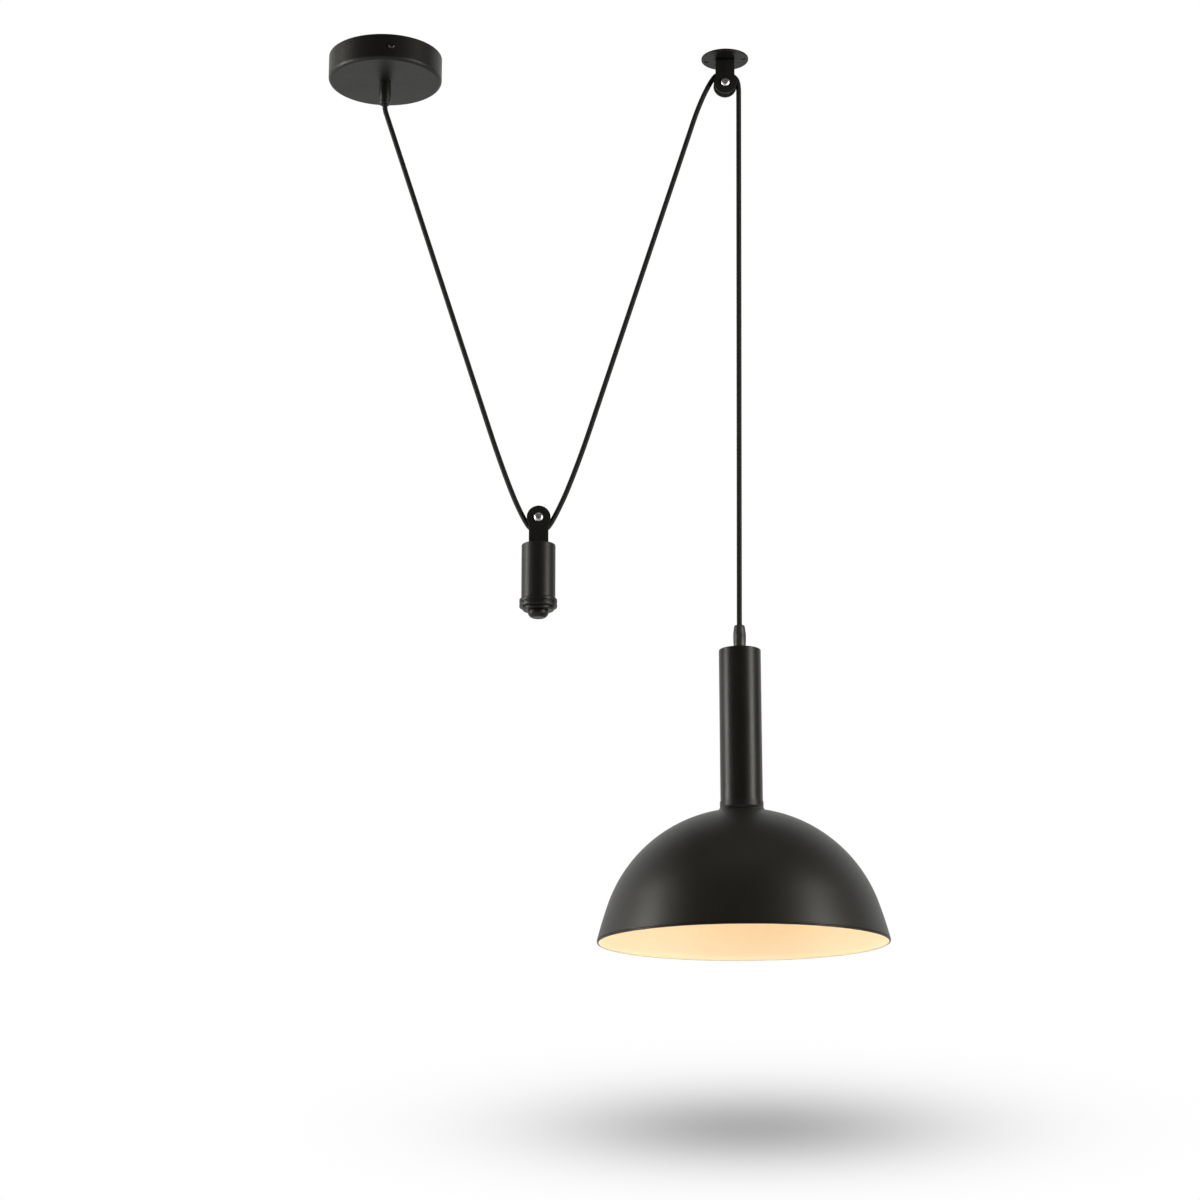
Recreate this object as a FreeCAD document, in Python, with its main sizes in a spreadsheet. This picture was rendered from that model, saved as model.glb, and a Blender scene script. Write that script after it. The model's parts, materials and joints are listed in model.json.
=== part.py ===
"""Rise and fall pendant lamp.

One cord carries the whole lamp. It leaves a canopy on the ceiling, runs down and round the grooved wheel
of a counterweight, up and over a second wheel under the ceiling, and down to a dome shade. Pulling the
shade down lifts the counterweight, and the other way round.

Millimetres. The origin is the middle of the canopy on the ceiling, +Z is up, and the cord lies in the plane
of X and Z. Every length below is a driving dimension kept in the sheet, and the pieces are bound to it.
"""
import FreeCAD, Part
import math
import os
import Sketcher

Vector = FreeCAD.Vector
Z_AXIS = Vector(0, 0, 1)
X_AXIS = Vector(1, 0, 0)

# ------------------------------------------------------------------------------------ driving dimensions

CANOPY = {
    "canopy_diameter": 125.0,
    "canopy_height": 29.0,
    "canopy_wall": 1.2,
    "canopy_edge": 4.0,
    "canopy_turn": 10.7,
    "cord_entry_hole": 10.4,
    "side_screw_drop": 13.8,
    "side_screw_diameter": 4.0,
    "side_screw_head": 7.0,
    "side_screw_head_height": 2.2,
    "side_screw_length": 8.0,
    "bracket_width": 20.0,
    "bracket_thickness": 1.5,
    "bracket_bend": 1.2,
    "bracket_tab": 19.0,
    "bracket_fit": 0.4,
    "fixing_circle": 70.0,
    "fixing_hole": 5.0,
    "supply_hole": 12.0,
    "earth_post_offset": 20.0,
    "earth_post_diameter": 8.0,
    "earth_post_length": 6.5,
    "block_width": 30.0,
    "block_depth": 17.0,
    "block_height": 13.0,
    "block_offset": 12.0,
    "block_screw_diameter": 4.2,
    "block_screw_length": 4.0,
    "block_well_depth": 5.5,
    "block_pitch": 9.5,
}

CORD = {
    "cord_diameter": 5.5,
    "cord_fit": 0.05,
    "conductor_diameter": 2.0,
    "grip_length": 26.5,
    "grip_foot_radius": 7.0,
    "grip_foot_height": 4.5,
    "grip_waist_radius": 5.9,
    "grip_swell": 38.0,
    "grip_flat_radius": 5.75,
    "grip_flat_width": 5.2,
    "grip_flat_length": 16.0,
    "grip_neck_radius": 5.3,
    "grip_nose_radius": 3.4,
    "grip_nose_height": 2.0,
    "grip_socket": 5.0,
    "stem_diameter": 10.0,
    "stem_bore": 7.0,
    "stem_fit": 0.05,
    "stem_grip_depth": 4.5,
    "stem_nut_across": 14.0,
    "stem_nut_height": 3.0,
    "canopy_stem_rise": 5.0,
}

PULLEY = {
    "pulley_x": 376.2,
    "axle_drop": 31.0,
    "flange_diameter": 52.0,
    "flange_thickness": 2.0,
    "flange_edge": 0.8,
    "flange_hole_circle": 41.0,
    "flange_hole": 4.5,
    "flange_turn": -11.0,
    "rivet_diameter": 5.0,
    "rivet_head_gap": 0.2,
    "rivet_head_height": 2.0,
    "ear_radius": 12.7,
    "neck_width": 20.6,
    "fork_wall": 2.0,
    "fork_gap": 9.0,
    "fork_length": 29.0,
    "fork_bend": 2.5,
    "wheel_radius": 12.0,
    "wheel_side_gap": 0.4,
    "groove_root": 9.95,
    "groove_radius": 3.05,
    "hub_radius": 5.5,
    "web_recess": 1.2,
    "axle_diameter": 5.0,
    "axle_fit": 0.05,
    "axle_head_radius": 4.75,
    "axle_head_height": 2.4,
    "axle_slot_width": 1.2,
    "axle_slot_length": 6.0,
    "axle_slot_depth": 1.3,
    "axle_nut_across": 8.0,
    "axle_nut_height": 4.0,
    "axle_tail": 1.0,
    "sleeve_diameter": 7.0,
    "side_play": 0.2,
}

WEIGHT = {
    "weight_x": 172.7,
    "weight_axle_z": -530.6,
    "housing_diameter": 36.0,
    "housing_length": 59.4,
    "housing_wall": 2.0,
    "housing_edge": 1.0,
    "core_fit": 0.2,
    "core_tail": 9.2,
    "collar_overhang": 2.0,
    "collar_height": 9.2,
    "collar_groove_width": 1.4,
    "collar_groove_depth": 0.8,
    "collar_edge": 1.2,
    "cap_inset": 3.5,
    "cap_thickness": 3.2,
    "cap_edge": 1.2,
    "knob_radius": 10.75,
    "knob_face_radius": 7.6,
    "knob_height": 9.3,
    "knob_taper": 5.0,
    "stud_diameter": 6.0,
    "stud_length": 12.0,
    "fork_screw_length": 16.0,
    "fork_screw_head_height": 3.0,
}

LAMP = {
    "lamp_x": 384.4,
    "lamp_top_z": -674.0,
    "tube_diameter": 44.0,
    "tube_length": 172.1,
    "tube_wall": 1.2,
    "tube_top": 1.5,
    "tube_edge": 1.0,
    "collar_ring_height": 10.6,
    "collar_ring_wall": 1.4,
    "collar_ring_fit": 0.1,
    "collar_ring_foot": 4.0,
    "shade_diameter": 300.0,
    "shade_height": 135.6,
    "shade_wall": 1.0,
    "shade_seat_radius": 26.0,
    "shade_hole_radius": 19.6,
    "skirt_height": 36.5,
    "skirt_flare": 10.25,
    "skirt_curve": 450.0,
    "stem_length": 131.5,
    "holder_radius": 19.0,
    "holder_shoulder_radius": 20.4,
    "holder_shoulder_height": 3.0,
    "holder_wall": 1.8,
    "holder_cap_height": 25.0,
    "holder_neck_radius": 8.0,
    "holder_neck_height": 4.0,
    "holder_dome": 6.0,
    "holder_skirt_length": 38.0,
    "holder_joint": 24.1,
    "insert_height": 10.0,
    "insert_fit": 0.2,
    "shell_radius": 13.8,
    "shell_wall": 0.4,
    "shell_length": 25.0,
    "contact_radius": 4.0,
    "contact_height": 1.0,
    "ring_radius": 25.3,
    "ring_flange": 2.0,
    "ring_wall": 2.2,
    "ring_height": 9.5,
    "ring_fit": 0.2,
}

BULB = {
    "bulb_cap_radius": 13.0,
    "bulb_cap_length": 26.0,
    "bulb_cap_wall": 0.8,
    "bulb_tip_radius": 4.5,
    "bulb_tip_height": 2.2,
    "bulb_tip_gap": 0.3,
    "bulb_neck_length": 27.5,
    "bulb_neck_radius": 13.5,
    "bulb_shoulder_radius": 26.5,
    "bulb_neck_curve": 60.0,
    "bulb_globe_radius": 30.0,
    "bulb_wall": 1.2,
}

# The cord's route, each stretch a short list of points (x, z). The cord hangs straight between its wheels,
# leaves them in a slow bend because it is stiff, and goes round each one in five even steps.
ROUTE_CANOPY_STRETCH = [(0.0, -50.5), (0.0, -60.1), (126.9, -455.0), (143.0, -500.0), (152.0, -521.0),
                        (155.7, -528.3)]
ROUTE_UNDER_WEIGHT_WHEEL = [(155.7, -528.3), (160.88, -538.52), (166.2, -542.6), (172.7, -544.0),
                            (179.2, -542.6), (184.52, -538.52), (189.7, -528.3)]
ROUTE_RISING_STRETCH = [(189.7, -528.3), (194.14, -519.54), (203.6, -498.0), (219.3, -455.0),
                        (343.7, -66.0), (352.4, -43.6), (357.5, -33.6)]
ROUTE_OVER_CEILING_WHEEL = [(357.5, -33.6), (363.11, -22.6), (370.5, -17.9), (379.2, -17.7),
                            (386.9, -21.9), (391.24, -29.5), (391.1, -42.0)]
ROUTE_LAMP_STRETCH = [(391.1, -42.0), (384.4, -641.0), (384.4, -652.5)]

# ------------------------------------------------------------------------------- sizes that know their cell


class Size:
    """A length with its value and the sheet expression that gives it."""

    def __init__(self, value, text):
        self.value = value
        self.text = text

    def __add__(self, other):
        other = as_size(other)
        return Size(self.value + other.value, f"({self.text} + {other.text})")

    def __sub__(self, other):
        other = as_size(other)
        return Size(self.value - other.value, f"({self.text} - {other.text})")

    def __mul__(self, other):
        other = as_size(other)
        return Size(self.value * other.value, f"({self.text} * {other.text})")

    def __truediv__(self, other):
        other = as_size(other)
        return Size(self.value / other.value, f"({self.text} / {other.text})")

    def __neg__(self):
        return Size(-self.value, f"(0 - {self.text})")

    __radd__ = __add__

    def __rsub__(self, other):
        return as_size(other) - self

    def __rmul__(self, other):
        return self * other


def as_size(number):
    """A plain number as a Size."""
    if isinstance(number, Size):
        return number
    return Size(float(number), f"({float(number)!r})")


def root(size):
    """The square root of a Size."""
    return Size(math.sqrt(size.value), f"sqrt({size.text})")


class Sizes:
    """The sheet's cells by name, as attributes."""

    def __init__(self, sheet, groups):
        row = 0
        for group in groups:
            for name, value in group.items():
                row += 1
                sheet.set(f"A{row}", name)
                sheet.set(f"B{row}", repr(value))
                sheet.setAlias(f"B{row}", name)
                setattr(self, name, Size(value, f"<<{sheet.Label}>>.{name}"))


doc = FreeCAD.newDocument("rise_and_fall_pendant")
dimensions = doc.addObject("Spreadsheet::Sheet", "Dimensions")
d = Sizes(dimensions, (CANOPY, CORD, PULLEY, WEIGHT, LAMP, BULB))
doc.recompute()

sub_parts = []

# ------------------------------------------------------------------------------------------ small helpers


def place(item, base, turn=None):
    """Put an object at base, three Sizes, turned by (axis, degrees), with the place bound to the sheet."""
    x, y, z = (as_size(value) for value in base)
    rotation = FreeCAD.Rotation()
    if turn:
        axis, degrees = turn
        degrees = as_size(degrees)
        rotation = FreeCAD.Rotation(axis, degrees.value)
    item.Placement = FreeCAD.Placement(Vector(x.value, y.value, z.value), rotation)
    for letter, value in (("x", x), ("y", y), ("z", z)):
        item.setExpression(f"Placement.Base.{letter}", value.text)
    if turn:
        item.setExpression("Placement.Rotation.Angle", degrees.text)


def new_body(label, base=(0, 0, 0), turn=None, keep=True):
    """An empty body with its place. Kept ones are written out under their label."""
    body = doc.addObject("PartDesign::Body", label)
    body.Label = label
    body.AllowCompound = True
    place(body, base, turn)
    if keep:
        sub_parts.append(body)
    return body


def new_sketch(body, plane, start=None):
    """An empty sketch on one of the body's own origin planes, or parallel to it at start."""
    sketch = body.newObject("Sketcher::SketchObject", f"{body.Name}_sketch")
    support = next(item for item in body.Origin.OriginFeatures if item.Role == plane)
    sketch.AttachmentSupport = (support, [""])
    sketch.MapMode = "FlatFace"
    if start is not None:
        sketch.AttachmentOffset = FreeCAD.Placement(Vector(0, 0, start.value), FreeCAD.Rotation())
        sketch.setExpression("AttachmentOffset.Base.z", start.text)
    return sketch


def bind(sketch, kind, *spec):
    """Add a constraint whose last value is a Size, bound to the sheet."""
    *places, size = spec
    index = sketch.addConstraint(Sketcher.Constraint(kind, *places, size.value))
    sketch.setExpression(f"Constraints[{index}]", size.text)


def arc_centre(start, end, radius):
    """Centre of the arc of this radius from start to end, on the left of the way for a positive radius."""
    half = (end - start) * 0.5
    side = Vector(-half.y, half.x, 0).normalize()
    reach = math.sqrt(max(radius * radius - half.Length ** 2, 0.0))
    return start + half + side * math.copysign(reach, radius)


def draw_outline(sketch, corners):
    """Draw a closed outline. A corner is (x, y), or (x, y, radius) when an arc leads to it: a positive
    radius turns left on the way there and a negative one right. Corners and radii are Sizes."""
    sides = []
    for index, corner in enumerate(corners):
        after = corners[(index + 1) % len(corners)]
        start = Vector(as_size(corner[0]).value, as_size(corner[1]).value, 0)
        end = Vector(as_size(after[0]).value, as_size(after[1]).value, 0)
        if len(after) == 2:
            sketch.addGeometry(Part.LineSegment(start, end))
            sides.append((1, 2))
            continue
        radius = as_size(after[2])
        centre = arc_centre(start, end, radius.value)
        circle = Part.Circle(centre, Z_AXIS, abs(radius.value))
        angles = [math.atan2(tip.y - centre.y, tip.x - centre.x) for tip in (start, end)]
        if radius.value < 0:
            angles.reverse()
        sketch.addGeometry(Part.ArcOfCircle(circle, *angles))
        sides.append((1, 2) if radius.value > 0 else (2, 1))
    for index, corner in enumerate(corners):
        before = (index - 1) % len(corners)
        sketch.addConstraint(Sketcher.Constraint("Coincident", before, sides[before][1], index,
                                                 sides[index][0]))
        bind(sketch, "DistanceX", -1, 1, index, sides[index][0], as_size(corner[0]))
        bind(sketch, "DistanceY", -1, 1, index, sides[index][0], as_size(corner[1]))
        if len(corner) == 3:
            radius = as_size(corner[2])
            bind(sketch, "Radius", before, radius if radius.value > 0 else -radius)


def draw_circles(sketch, circles, first=0):
    """Draw whole circles, each (x, y, radius), after the first other curves of the sketch."""
    for index, (x, y, radius) in enumerate(circles, first):
        x, y, radius = as_size(x), as_size(y), as_size(radius)
        sketch.addGeometry(Part.Circle(Vector(x.value, y.value, 0), Z_AXIS, radius.value))
        bind(sketch, "DistanceX", -1, 1, index, 3, x)
        bind(sketch, "DistanceY", -1, 1, index, 3, y)
        bind(sketch, "Radius", index, radius)


def rectangle(low_x, low_y, high_x, high_y):
    """The corners of an upright rectangle."""
    return [(low_x, low_y), (high_x, low_y), (high_x, high_y), (low_x, high_y)]


def hexagon(across):
    """The corners of a regular hexagon, across its flats."""
    reach = as_size(across) / math.sqrt(3.0)
    return [(reach * math.cos(math.radians(60 * k)), reach * math.sin(math.radians(60 * k)))
            for k in range(6)]


def revolve(body, corners):
    """Turn an outline of (radius, height) round the body's Z axis."""
    sketch = new_sketch(body, "XZ_Plane")
    draw_outline(sketch, corners)
    feature = body.newObject("PartDesign::Revolution", f"{body.Name}_turned")
    feature.Profile = sketch
    feature.ReferenceAxis = (sketch, ["V_Axis"])
    feature.Angle = 360
    return feature


def pad(body, plane, length, **shape):
    """Raise a shape off a plane of the body."""
    return slab(body, "PartDesign::Pad", plane, length, **shape)


def pocket(body, plane, length, **shape):
    """Cut a shape into the body. Without a length it goes right through."""
    return slab(body, "PartDesign::Pocket", plane, length, **shape)


def slab(body, kind, plane, length, corners=(), circles=(), both=False, flip=False, start=None):
    """The shared work of pad and pocket: corners and circles, to both sides of the plane when asked."""
    sketch = new_sketch(body, plane, start)
    if corners:
        draw_outline(sketch, corners)
    if circles:
        draw_circles(sketch, circles, len(corners))
    doc.recompute()
    feature = body.newObject(kind, f"{body.Name}_{kind.split('::')[1].lower()}")
    feature.Profile = sketch
    if both:
        feature.SideType = "Symmetric"
    feature.Reversed = flip
    if length is None:
        feature.Type = "ThroughAll"
    else:
        feature.Length = as_size(length).value
        feature.setExpression("Length", as_size(length).text)
    return feature


def repeat_round(body, feature, count):
    """Repeat a feature evenly round the body's Z axis."""
    pattern = body.newObject("PartDesign::PolarPattern", f"{body.Name}_pattern")
    pattern.Originals = [feature]
    axis = next(item for item in body.Origin.OriginFeatures if item.Role == "Z_Axis")
    pattern.Axis = (axis, [""])
    pattern.Angle = 360
    pattern.Occurrences = count
    body.Tip = pattern
    return pattern


def edges_where(shape, test):
    """The names of the edges that pass a test."""
    return [f"Edge{index + 1}" for index, edge in enumerate(shape.Edges) if test(edge)]


def is_ring(edge, radius, height):
    """Whether an edge is a circle round Z of this radius at this height."""
    box = edge.BoundBox
    level = abs(box.ZMin - height.value) < 0.01 and abs(box.ZMax - height.value) < 0.01
    return level and isinstance(edge.Curve, Part.Circle) and abs(edge.Curve.Radius - radius.value) < 0.01


def soften(body, kind, size, test):
    """Fillet or chamfer the edges of the body's tip that pass a test."""
    doc.recompute()
    base = body.Tip
    feature = body.newObject(f"PartDesign::{kind}", f"{body.Name}_{kind.lower()}")
    feature.Base = (base, edges_where(base.Shape, test))
    feature_size = "Radius" if kind == "Fillet" else "Size"
    setattr(feature, feature_size, as_size(size).value)
    feature.setExpression(feature_size, as_size(size).text)
    return feature


def tube_path(route):
    """A wire of straight runs joined by tangent arcs. Each arc touches its runs 0.45 of the shorter one
    away from the corner. Returns the wire and its smallest radius."""
    points = [Vector(*point) for point in route]
    edges = []
    radii = []
    here = points[0]
    for before, corner, after in zip(points, points[1:], points[2:]):
        way_in = (corner - before).normalize()
        way_out = (after - corner).normalize()
        reach = 0.45 * min((corner - before).Length, (after - corner).Length)
        half_turn = way_in.getAngle(way_out) / 2
        radius = reach / math.tan(half_turn)
        start = corner - way_in * reach
        end = corner + way_out * reach
        inward = (way_out - way_in).normalize()
        middle = corner + inward * (radius / math.cos(half_turn) - radius)
        edges.append(Part.LineSegment(here, start).toShape())
        edges.append(Part.Arc(start, middle, end).toShape())
        radii.append(radius)
        here = end
    edges.append(Part.LineSegment(here, points[-1]).toShape())
    return Part.Wire(edges), radii


def tube(label, route, diameter, base=(0, 0, 0), turn=None):
    """A round tube along a route of (x, y, z) points, written out under its label."""
    wire, radii = tube_path(route)
    first = wire.Edges[0]
    start = first.valueAt(first.FirstParameter)
    profile = Part.Wire(Part.Circle(start, first.tangentAt(first.FirstParameter), diameter.value / 2).toShape())
    solid = wire.makePipeShell([profile], True, False)
    item = doc.addObject("Part::Feature", label)
    item.Label = label
    item.Shape = solid
    place(item, base, turn)
    sub_parts.append(item)
    wanted = math.pi * diameter.value ** 2 / 4 * wire.Length
    smallest = f"{min(radii):.1f}" if radii else "none"
    print(f"{label}: length {wire.Length:.1f}, smallest radius {smallest}, "
          f"volume {solid.Volume / wanted:.4f} of section times length")


def flat_route(points):
    """A route in the plane of the cord, from (x, z) points."""
    return [(x, 0.0, z) for x, z in points]


# ------------------------------------------------------------------------------- pieces used more than once


def cord_grip(label, base, turn=None):
    """A tapered cord grip. Its foot stands on the part it closes, and the cord comes out of its nose."""
    body = new_body(label, base, turn)
    bore = d.cord_diameter / 2 + d.cord_fit
    socket = d.stem_diameter / 2 + d.stem_fit
    shoulder = d.grip_length - d.grip_nose_height
    revolve(body, [
        (socket, 0),
        (d.grip_foot_radius, 0),
        (d.grip_foot_radius, d.grip_foot_height),
        (d.grip_waist_radius, d.grip_foot_height + 2.0),
        (d.grip_neck_radius, shoulder - 1.5, d.grip_swell),
        (d.grip_neck_radius - 0.2, shoulder),
        (d.grip_nose_radius, d.grip_length),
        (bore, d.grip_length),
        (bore, d.grip_socket),
        (socket, d.grip_socket),
    ])
    flat = pocket(body, "XZ_Plane", d.grip_flat_width, both=True,
                  corners=rectangle(d.grip_flat_radius, d.grip_foot_height + 2.0,
                                    d.grip_flat_radius + 3.0, d.grip_foot_height + 2.0 + d.grip_flat_length))
    repeat_round(body, flat, 8)
    return body


def stem(label, base, length):
    """A hollow threaded stem, standing up from base."""
    body = new_body(label, base)
    revolve(body, rectangle(d.stem_bore / 2, 0, d.stem_diameter / 2, length))


def hexagon_nut(label, base, across, height, hole, turn=None):
    """A plain hexagon nut, standing up from base."""
    body = new_body(label, base, turn)
    pad(body, "XY_Plane", height, corners=hexagon(across), circles=[(0, 0, hole)])


def fork(label, base, turn=None):
    """A strap bent into a U: a flat web, and two ears that hold a wheel's axle.

    The axle runs along Y through the origin, and the web's back face is fork_length above it."""
    body = new_body(label, base, turn)
    half_neck = d.neck_width / 2
    joint = root(d.ear_radius * d.ear_radius - half_neck * half_neck)
    outside = d.fork_gap + 2 * d.fork_wall
    pad(body, "XZ_Plane", outside, both=True, corners=[
        (half_neck, d.fork_length),
        (-half_neck, d.fork_length),
        (-half_neck, joint),
        (0, -d.ear_radius, d.ear_radius),
        (half_neck, joint, d.ear_radius),
    ])
    soften(body, "Fillet", d.fork_bend,
           lambda edge: edge.BoundBox.ZMin > d.fork_length.value - 0.01 and edge.BoundBox.YLength < 0.01)
    pocket(body, "YZ_Plane", None, both=True,
           corners=rectangle(-d.fork_gap / 2, -d.ear_radius - 1.0, d.fork_gap / 2,
                             d.fork_length - d.fork_wall))
    pocket(body, "XZ_Plane", None, both=True, circles=[(0, 0, d.axle_diameter / 2 + d.axle_fit)])
    pocket(body, "XY_Plane", None, flip=True, circles=[(0, 0, d.rivet_diameter / 2 + d.axle_fit)])


def wheel(label, base):
    """A grooved wheel turning about Y. The groove holds the cord with the same room all round it."""
    body = new_body(label, base, (X_AXIS, 90))
    bore = d.sleeve_diameter / 2 + d.axle_fit
    half = d.fork_gap / 2 - d.wheel_side_gap
    cord_line = d.groove_root + d.groove_radius
    lip = d.wheel_radius - cord_line
    mouth = root(d.groove_radius * d.groove_radius - lip * lip)
    revolve(body, [
        (bore, -half),
        (d.hub_radius, -half),
        (d.hub_radius + d.web_recess, d.web_recess - half),
        (d.groove_root - d.web_recess, d.web_recess - half),
        (d.groove_root, -half),
        (d.wheel_radius, -half),
        (d.wheel_radius, -mouth),
        (d.groove_root, 0, -d.groove_radius),
        (d.wheel_radius, mouth, -d.groove_radius),
        (d.wheel_radius, half),
        (d.groove_root, half),
        (d.groove_root - d.web_recess, half - d.web_recess),
        (d.hub_radius + d.web_recess, half - d.web_recess),
        (d.hub_radius, half),
        (bore, half),
    ])


def axle_screw(label, base, play):
    """The screw through a fork's ears. Its head is in front, and play is its gap to the ears."""
    body = new_body(label, base, (X_AXIS, 90))
    seat = d.fork_gap / 2 + d.fork_wall + play
    shank = d.axle_diameter / 2
    tail = seat + d.axle_nut_height + d.axle_tail
    edge = d.axle_head_radius * 0.62
    revolve(body, [
        (0, -tail),
        (shank - 0.5, -tail),
        (shank, 0.5 - tail),
        (shank, seat),
        (d.axle_head_radius, seat),
        (d.axle_head_radius, seat + d.axle_head_height * 0.4),
        (edge, seat + d.axle_head_height, d.axle_head_radius),
        (0, seat + d.axle_head_height),
    ])
    top = seat + d.axle_head_height
    slot = pocket(body, "XZ_Plane", d.axle_slot_width, both=True,
                  corners=rectangle(0, top - d.axle_slot_depth, d.axle_slot_length / 2, top + 1.0))
    repeat_round(body, slot, 4)


def axle_nut(label, base, play):
    """The nut behind the far ear."""
    seat = d.fork_gap / 2 + d.fork_wall + play
    x, z = base[0], base[2]
    hexagon_nut(label, (x, seat, z), d.axle_nut_across, d.axle_nut_height, d.axle_diameter / 2 + d.axle_fit,
                (X_AXIS, -90))


def axle_sleeve(label, base, play):
    """The spacer on the screw between the ears, on which the wheel turns."""
    body = new_body(label, base, (X_AXIS, 90))
    half = d.fork_gap / 2 - play
    revolve(body, rectangle(d.axle_diameter / 2 + d.axle_fit, -half, d.sleeve_diameter / 2, half))


# ----------------------------------------------------------------------------------------------- the canopy


def make_canopy():
    """The cup, the bracket that holds it to the ceiling, its screws and the joints of the cord's wires."""
    turn = (Z_AXIS, d.canopy_turn)
    radius = d.canopy_diameter / 2
    floor = d.canopy_wall - d.canopy_height

    cup = new_body("canopy_cup", (0, 0, 0), turn)
    revolve(cup, [
        (d.cord_entry_hole / 2, -d.canopy_height),
        (radius, -d.canopy_height),
        (radius, 0),
        (radius - d.canopy_wall, 0),
        (radius - d.canopy_wall, floor),
        (d.cord_entry_hole / 2, floor),
    ])
    soften(cup, "Fillet", d.canopy_edge, lambda edge: is_ring(edge, radius, -d.canopy_height))
    soften(cup, "Fillet", d.canopy_edge - d.canopy_wall,
           lambda edge: is_ring(edge, radius - d.canopy_wall, floor))
    pocket(cup, "XZ_Plane", None, both=True,
           circles=[(0, -d.side_screw_drop, d.side_screw_diameter / 2 + 0.15)])

    half_bar = d.bracket_width / 2
    inside = radius - d.canopy_wall - d.bracket_fit
    reach = root(inside * inside - half_bar * half_bar)
    bracket = new_body("mounting_bracket", (0, 0, 0), turn)
    wall = d.bracket_thickness
    pad(bracket, "YZ_Plane", d.bracket_width, both=True, corners=[
        (-reach, -d.bracket_tab),
        (wall - reach, -d.bracket_tab),
        (wall - reach, -wall),
        (reach - wall, -wall),
        (reach - wall, -d.bracket_tab),
        (reach, -d.bracket_tab),
        (reach, 0),
        (-reach, 0),
    ])
    soften(bracket, "Fillet", d.bracket_bend,
           lambda edge: edge.BoundBox.ZMin > -0.01 and edge.BoundBox.YLength < 0.01
           and edge.BoundBox.XLength > 1)
    pocket(bracket, "XY_Plane", None, both=True, circles=[
        (0, 0, d.supply_hole / 2),
        (0, d.fixing_circle / 2, d.fixing_hole / 2),
        (0, -d.fixing_circle / 2, d.fixing_hole / 2),
    ])
    pocket(bracket, "XZ_Plane", None, both=True,
           circles=[(0, -d.side_screw_drop, d.side_screw_diameter / 2 + 0.05)])

    screws = new_body("side_screws", (0, 0, 0), turn)
    shank = d.side_screw_diameter / 2
    tip = radius + 0.1 - d.side_screw_length
    sketch = new_sketch(screws, "YZ_Plane")
    draw_outline(sketch, [
        (tip, -d.side_screw_drop),
        (tip, shank - d.side_screw_drop),
        (radius + 0.1, shank - d.side_screw_drop),
        (radius + 0.1, d.side_screw_head / 2 - d.side_screw_drop),
        (radius + 0.1 + d.side_screw_head_height * 0.4, d.side_screw_head / 2 - d.side_screw_drop),
        (radius + 0.1 + d.side_screw_head_height, d.side_screw_head * 0.3 - d.side_screw_drop,
         -d.side_screw_head / 2),
        (radius + 0.1 + d.side_screw_head_height, -d.side_screw_drop),
    ])
    turned = screws.newObject("PartDesign::Revolution", "side_screws_turned")
    turned.Profile = sketch
    turned.ReferenceAxis = (sketch, ["Edge7"])
    turned.Angle = 360
    repeat_round(screws, turned, 2)

    cord_grip("canopy_cord_grip", (0, 0, -d.canopy_height), (X_AXIS, 180))
    stem_foot = -d.canopy_height - d.stem_grip_depth
    stem("canopy_stem", (0, 0, stem_foot),
         d.stem_grip_depth + d.canopy_wall + d.stem_nut_height + d.canopy_stem_rise)
    hexagon_nut("canopy_stem_nut", (0, 0, floor), d.stem_nut_across, d.stem_nut_height,
                d.stem_diameter / 2 + d.stem_fit)

    make_wiring_joints(turn)


def make_wiring_joints(turn):
    """The block and the post where the cord's three wires meet the supply."""
    block = new_body("terminal_block", (0, 0, 0), turn)
    bottom = -d.bracket_thickness - d.block_height
    pad(block, "XY_Plane", d.block_height, start=bottom,
        corners=rectangle(-d.block_width / 2, d.block_offset, d.block_width / 2,
                          d.block_offset + d.block_depth))
    rows = [d.block_offset + d.block_depth / 2 + side * d.block_depth * 0.28 for side in (-1.0, 1.0)]
    wells = [(column * d.block_pitch, row, d.block_screw_diameter / 2 + 0.2)
             for column in (-1.0, 0.0, 1.0) for row in rows]
    pocket(block, "XY_Plane", d.block_well_depth, flip=True, start=bottom, circles=wells)

    screws = []
    for index, (x, y, _) in enumerate(wells):
        screw = doc.addObject("Part::Cylinder", f"terminal_screw_{index}")
        screw.setExpression("Radius", (d.block_screw_diameter / 2).text)
        screw.setExpression("Height", d.block_screw_length.text)
        place(screw, (x, y, bottom + d.block_well_depth - d.block_screw_length))
        screws.append(screw)
    group = doc.addObject("Part::Compound", "terminal_screws")
    group.Label = "terminal_screws"
    group.Links = screws
    place(group, (0, 0, 0), turn)
    sub_parts.append(group)

    post = new_body("earth_post", (0, 0, 0), turn)
    pad(post, "XY_Plane", d.earth_post_length, start=-d.bracket_thickness - d.earth_post_length,
        circles=[(0, -d.earth_post_offset, d.earth_post_diameter / 2)])

    tail_top = -16.0
    level = -8.8
    entry = d.block_offset.value
    column = d.block_pitch.value
    for name, side in (("canopy_live_wire", -1.0), ("canopy_neutral_wire", 1.0)):
        tube(name, [(1.3 * side, 0.75, tail_top), (1.3 * side, 0.75, level),
                    (column * side, entry - 5.5, level), (column * side, entry, level)],
             d.conductor_diameter, turn=turn)
    post_face = d.earth_post_diameter.value / 2 - d.earth_post_offset.value
    tube("canopy_earth_wire", [(0.0, -1.5, tail_top), (0.0, -1.5, -6.0), (0.0, post_face, -6.0)],
         d.conductor_diameter, turn=turn)


# --------------------------------------------------------------------------------------- the ceiling pulley


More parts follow.
